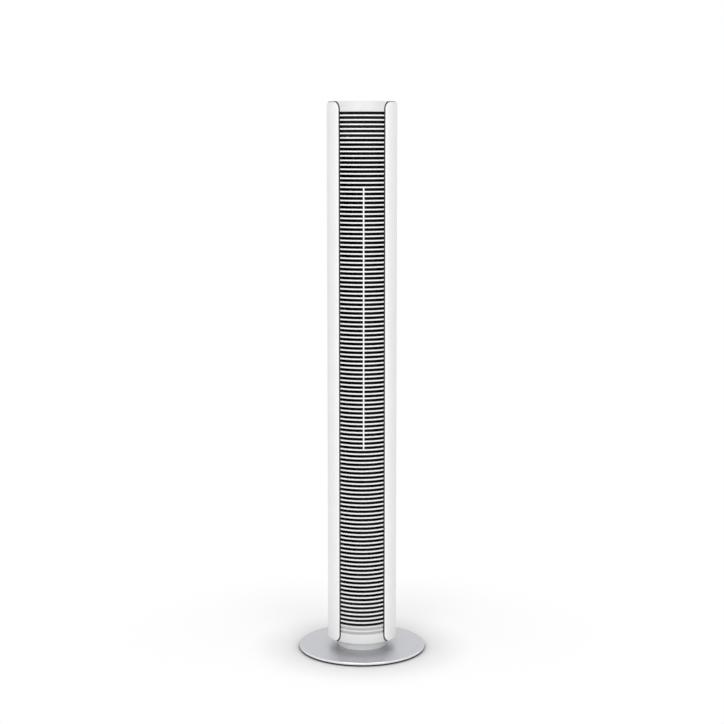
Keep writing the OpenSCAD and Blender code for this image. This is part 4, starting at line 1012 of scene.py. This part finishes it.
def build_button(look, node, x, material):
    """Push button with a rounded rim and a shallow dish."""
    stem_r = 2.5 * MM
    flange_width = 1.5 * MM
    flange_t = 1.6 * MM
    flange_gap = 0.2 * MM
    rim_width = 1.5 * MM
    rim_round = 0.4 * MM
    lo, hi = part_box(node)
    flange_r = BUTTON_R + flange_width
    flange_top = Z_TOP - CAP_WALL - flange_gap
    flange_low = flange_top - flange_t
    points = [
        (0, lo.z), (stem_r, lo.z), (stem_r, flange_low), (flange_r, flange_low), (flange_r, flange_top),
        (BUTTON_R, flange_top), (BUTTON_R, hi.z), (BUTTON_R - rim_width, hi.z),
        (BUTTON_R * 0.5, hi.z - 0.75 * look.button_dish), (0, hi.z - look.button_dish),
    ]
    bm = turn_full(points, rounds=[(6, look.button_round), (7, rim_round)], steps=64)
    move(bm, (x, BUTTON_Y, 0))
    piece(node.replace("_button", "_key"), bm, node + "_cap", material, "button_white", node)


def build_gland():
    """Cord gland at the rear with a rounded lip."""
    bore_r = 3.3 * MM
    body_r = 4.6 * MM
    lip_r = 5.2 * MM
    inner_round = 0.3 * MM
    lip_round = 0.8 * MM
    mouth_round = 0.7 * MM
    lo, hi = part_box("cord_gland")
    points = [
        (bore_r, lo.y), (body_r, lo.y), (body_r, R_DRUM), (lip_r, R_DRUM), (lip_r, hi.y), (bore_r, hi.y),
    ]
    rounds = [(0, inner_round), (1, inner_round), (4, lip_round), (5, mouth_round)]
    bm = point_to_rear(turn_full(points, rounds=rounds, steps=48), (lo.z + hi.z) / 2)
    dark = moulded("gland moulding", (0.035, 0.035, 0.037), roughness=0.45, texture=0.4, mottle=0.1)
    piece("gland_collar", bm, COLUMN, dark, "dark_plastic", "cord_gland")


# Stage


def direct_rays(tree):
    """One for rays from the camera, in gloss and through glass; nought for soft light."""
    path = tree.nodes.new("ShaderNodeLightPath")
    total = None
    for kind in ("Is Camera Ray", "Is Glossy Ray", "Is Transmission Ray"):
        step = tree.nodes.new("ShaderNodeMath")
        step.operation = "MAXIMUM"
        step.inputs[1].default_value = 0.0
        tree.links.new(path.outputs[kind], step.inputs[0])
        if total:
            tree.links.new(total, step.inputs[1])
        total = step.outputs["Value"]
    return total


def floor_finish():
    """White studio floor: it shows the object's soft shadow near by and turns plain white further off."""
    shadow_reach = 0.17
    shadow_depth = 1.5
    glow_strength = 0.185
    white_from = 0.15
    white_beyond = 0.6
    material, tree, shader, place = new_finish("studio floor", (0.93, 0.93, 0.93), roughness=0.9)
    shader.inputs["Specular IOR Level"].default_value = 0.1
    relief(tree, shader, noise(tree, place, scale=400.0, detail=2.0), distance=0.03 * MM, strength=0.1)
    contact = tree.nodes.new("ShaderNodeAmbientOcclusion")
    contact.samples = 12
    contact.inputs["Color"].default_value = (0.975, 0.975, 0.975, 1)
    contact.inputs["Distance"].default_value = shadow_reach
    deeper = tree.nodes.new("ShaderNodeGamma")
    deeper.inputs["Gamma"].default_value = shadow_depth
    tree.links.new(contact.outputs["Color"], deeper.inputs["Color"])
    shown = tree.nodes.new("ShaderNodeBsdfDiffuse")
    tree.links.new(deeper.outputs["Color"], shown.inputs["Color"])
    glow = tree.nodes.new("ShaderNodeEmission")
    glow.inputs["Strength"].default_value = glow_strength
    tree.links.new(deeper.outputs["Color"], glow.inputs["Color"])
    near = tree.nodes.new("ShaderNodeAddShader")
    tree.links.new(shown.outputs["BSDF"], near.inputs[0])
    tree.links.new(glow.outputs["Emission"], near.inputs[1])
    white = tree.nodes.new("ShaderNodeEmission")
    white.inputs["Strength"].default_value = 1.0
    length = tree.nodes.new("ShaderNodeVectorMath")
    length.operation = "LENGTH"
    tree.links.new(place, length.inputs[0])
    fade = tree.nodes.new("ShaderNodeMapRange")
    fade.interpolation_type = "SMOOTHSTEP"
    fade.inputs["From Min"].default_value = white_from
    fade.inputs["From Max"].default_value = white_beyond
    tree.links.new(length.outputs["Value"], fade.inputs["Value"])
    seen = tree.nodes.new("ShaderNodeMixShader")
    tree.links.new(fade.outputs["Result"], seen.inputs["Fac"])
    tree.links.new(near.outputs["Shader"], seen.inputs[1])
    tree.links.new(white.outputs["Emission"], seen.inputs[2])
    mix = tree.nodes.new("ShaderNodeMixShader")
    tree.links.new(direct_rays(tree), mix.inputs["Fac"])
    tree.links.new(shader.outputs["BSDF"], mix.inputs[1])
    tree.links.new(seen.outputs["Shader"], mix.inputs[2])
    tree.links.new(mix.outputs["Shader"], tree.nodes["Material Output"].inputs["Surface"])
    return material


def build_floor():
    """Round floor that fades into the white surroundings."""
    floor_r = 9.0
    bm = bmesh.new()
    bmesh.ops.create_circle(bm, cap_ends=True, cap_tris=False, segments=96, radius=floor_r)
    mesh = bpy.data.meshes.new("floor")
    bm.to_mesh(mesh)
    bm.free()
    mesh.materials.append(floor_finish())
    floor = bpy.data.objects.new("floor", mesh)
    bpy.context.scene.collection.objects.link(floor)


def build_world(strength):
    """White surroundings: full white to the camera and in reflections, softer as light."""
    world = bpy.data.worlds.new("studio")
    world.use_nodes = True
    tree = world.node_tree
    light = tree.nodes["Background"]
    light.inputs["Color"].default_value = (1, 1, 1, 1)
    light.inputs["Strength"].default_value = strength
    seen = tree.nodes.new("ShaderNodeBackground")
    seen.inputs["Color"].default_value = (1, 1, 1, 1)
    seen.inputs["Strength"].default_value = 1.0
    mix = tree.nodes.new("ShaderNodeMixShader")
    tree.links.new(direct_rays(tree), mix.inputs["Fac"])
    tree.links.new(light.outputs["Background"], mix.inputs[1])
    tree.links.new(seen.outputs["Background"], mix.inputs[2])
    tree.links.new(mix.outputs["Shader"], tree.nodes["World Output"].inputs["Surface"])
    bpy.context.scene.world = world


def soft_light(name, place, width, height, power):
    """Large soft lamp aimed at the column."""
    target = (0, 0, 0.6)
    lamp = bpy.data.lights.new(name, "AREA")
    lamp.shape = "RECTANGLE"
    lamp.size = width
    lamp.size_y = height
    lamp.energy = power
    made = bpy.data.objects.new(name, lamp)
    made.location = place
    made.rotation_euler = (Vector(target) - Vector(place)).to_track_quat("-Z", "Y").to_euler()
    bpy.context.scene.collection.objects.link(made)


def build_lights(power, overhead):
    """Two tall soft boxes in front, the left one stronger and nearer the middle, and one high above."""
    right_share = 0.75
    soft_light("left_box", (-1.1, -3.1, 1.35), width=1.3, height=2.0, power=power)
    soft_light("right_box", (1.4, -3.0, 1.35), width=1.3, height=2.0, power=right_share * power)
    soft_light("top_box", (0, -0.3, 5.0), width=2.0, height=2.0, power=overhead)


def build_camera(look):
    """Camera at the photograph's place."""
    data = bpy.data.cameras.new("camera")
    data.sensor_width = 36.0
    data.lens = look.lens
    data.shift_y = look.rise
    data.clip_start = 0.1
    data.clip_end = 50.0
    camera = bpy.data.objects.new("camera", data)
    camera.location = (0, -look.eye_distance, look.eye_height)
    camera.rotation_euler = (math.pi / 2 - look.eye_pitch, 0, 0)
    bpy.context.scene.collection.objects.link(camera)
    bpy.context.scene.camera = camera


# Operators


class FAN_OT_base(bpy.types.Operator):
    """Build the plate, the rubber foot and the neck"""

    bl_idname = "fan.base"
    bl_label = "Plate, foot and neck"

    def execute(self, context):
        look = context.scene.fan_base
        build_plate(look)
        build_foot(look)
        build_neck(look)
        return {"FINISHED"}


class FAN_OT_skirt(bpy.types.Operator):
    """Build the stepped skirt and the cord gland"""

    bl_idname = "fan.skirt"
    bl_label = "Skirt and gland"

    def execute(self, context):
        build_skirt(tuple(context.scene.fan_column.shade_painted_inset_colour))
        build_gland()
        return {"FINISHED"}


class FAN_OT_slats(bpy.types.Operator):
    """Build the front and rear slats and the frame behind the front ones"""

    bl_idname = "fan.slats"
    bl_label = "Slats"

    def execute(self, context):
        build_slats(context.scene.fan_column)
        build_outlet_frame()
        return {"FINISHED"}


class FAN_OT_panels(bpy.types.Operator):
    """Build the two side panels and the dark strips that paint the shadow line beside them"""

    bl_idname = "fan.panels"
    bl_label = "Side panels"

    def execute(self, context):
        build_panels(context.scene.fan_column)
        return {"FINISHED"}


class FAN_OT_cap(bpy.types.Operator):
    """Build the top cap"""

    bl_idname = "fan.cap"
    bl_label = "Top cap"

    def execute(self, context):
        build_cap(context.scene.fan_column)
        return {"FINISHED"}


class FAN_OT_buttons(bpy.types.Operator):
    """Build the five push buttons"""

    bl_idname = "fan.buttons"
    bl_label = "Push buttons"

    def execute(self, context):
        look = context.scene.fan_controls
        material = moulded("button moulding", tuple(look.button_colour), roughness=0.32, texture=0.15)
        for node, x in BUTTONS.items():
            build_button(look, node, x, material)
        return {"FINISHED"}


class FAN_OT_inner_works(bpy.types.Operator):
    """Give every piece of the inner works its finish"""

    bl_idname = "fan.inner_works"
    bl_label = "Inner works"

    def execute(self, context):
        for node, material in node_finishes().items():
            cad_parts[node].material_slots[0].material = material
        return {"FINISHED"}


class FAN_OT_stage(bpy.types.Operator):
    """Set the floor, the light and the camera"""

    bl_idname = "fan.stage"
    bl_label = "Stage"

    def execute(self, context):
        look = context.scene.fan_stage
        build_floor()
        build_world(look.sky)
        build_lights(look.key, look.overhead)
        build_camera(look)
        return {"FINISHED"}


class FAN_PT_sidebar(bpy.types.Panel):
    """Shows the tower fan's settings and its operators"""

    bl_label = "Tower fan"
    bl_idname = "FAN_PT_sidebar"
    bl_space_type = "VIEW_3D"
    bl_region_type = "UI"
    bl_category = "Tower fan"

    def draw(self, context):
        for group in ("fan_base", "fan_column", "fan_controls", "fan_stage"):
            box = self.layout.box()
            settings = getattr(context.scene, group)
            for key in settings.bl_rna.properties.keys():
                if key not in {"rna_type", "name"}:
                    box.prop(settings, key)
        for operator in OPERATORS:
            self.layout.operator(operator.bl_idname)


GROUPS = {
    "fan_base": TowerFanBase,
    "fan_column": TowerFanColumn,
    "fan_controls": TowerFanControls,
    "fan_stage": TowerFanStage,
}
OPERATORS = (
    FAN_OT_base, FAN_OT_skirt, FAN_OT_slats, FAN_OT_panels, FAN_OT_cap, FAN_OT_buttons, FAN_OT_inner_works,
    FAN_OT_stage,
)


def register():
    """Register the settings, the operators and the panel."""
    for group in GROUPS.values():
        bpy.utils.register_class(group)
    for name, group in GROUPS.items():
        setattr(bpy.types.Scene, name, bpy.props.PointerProperty(type=group))
    for operator in OPERATORS:
        bpy.utils.register_class(operator)
    bpy.utils.register_class(FAN_PT_sidebar)


def unregister():
    """Take the panel, the operators and the settings away again."""
    bpy.utils.unregister_class(FAN_PT_sidebar)
    for operator in reversed(OPERATORS):
        bpy.utils.unregister_class(operator)
    for name in GROUPS:
        delattr(bpy.types.Scene, name)
    for group in reversed(GROUPS.values()):
        bpy.utils.unregister_class(group)


def main():
    """Build every piece in order."""
    register()
    bpy.context.scene.view_settings.view_transform = "Standard"
    bpy.ops.fan.stage()
    bpy.ops.fan.base()
    bpy.ops.fan.skirt()
    bpy.ops.fan.slats()
    bpy.ops.fan.panels()
    bpy.ops.fan.cap()
    bpy.ops.fan.buttons()
    bpy.ops.fan.inner_works()
    bpy.context.view_layer.update()


if __name__ == "__main__":
    main()
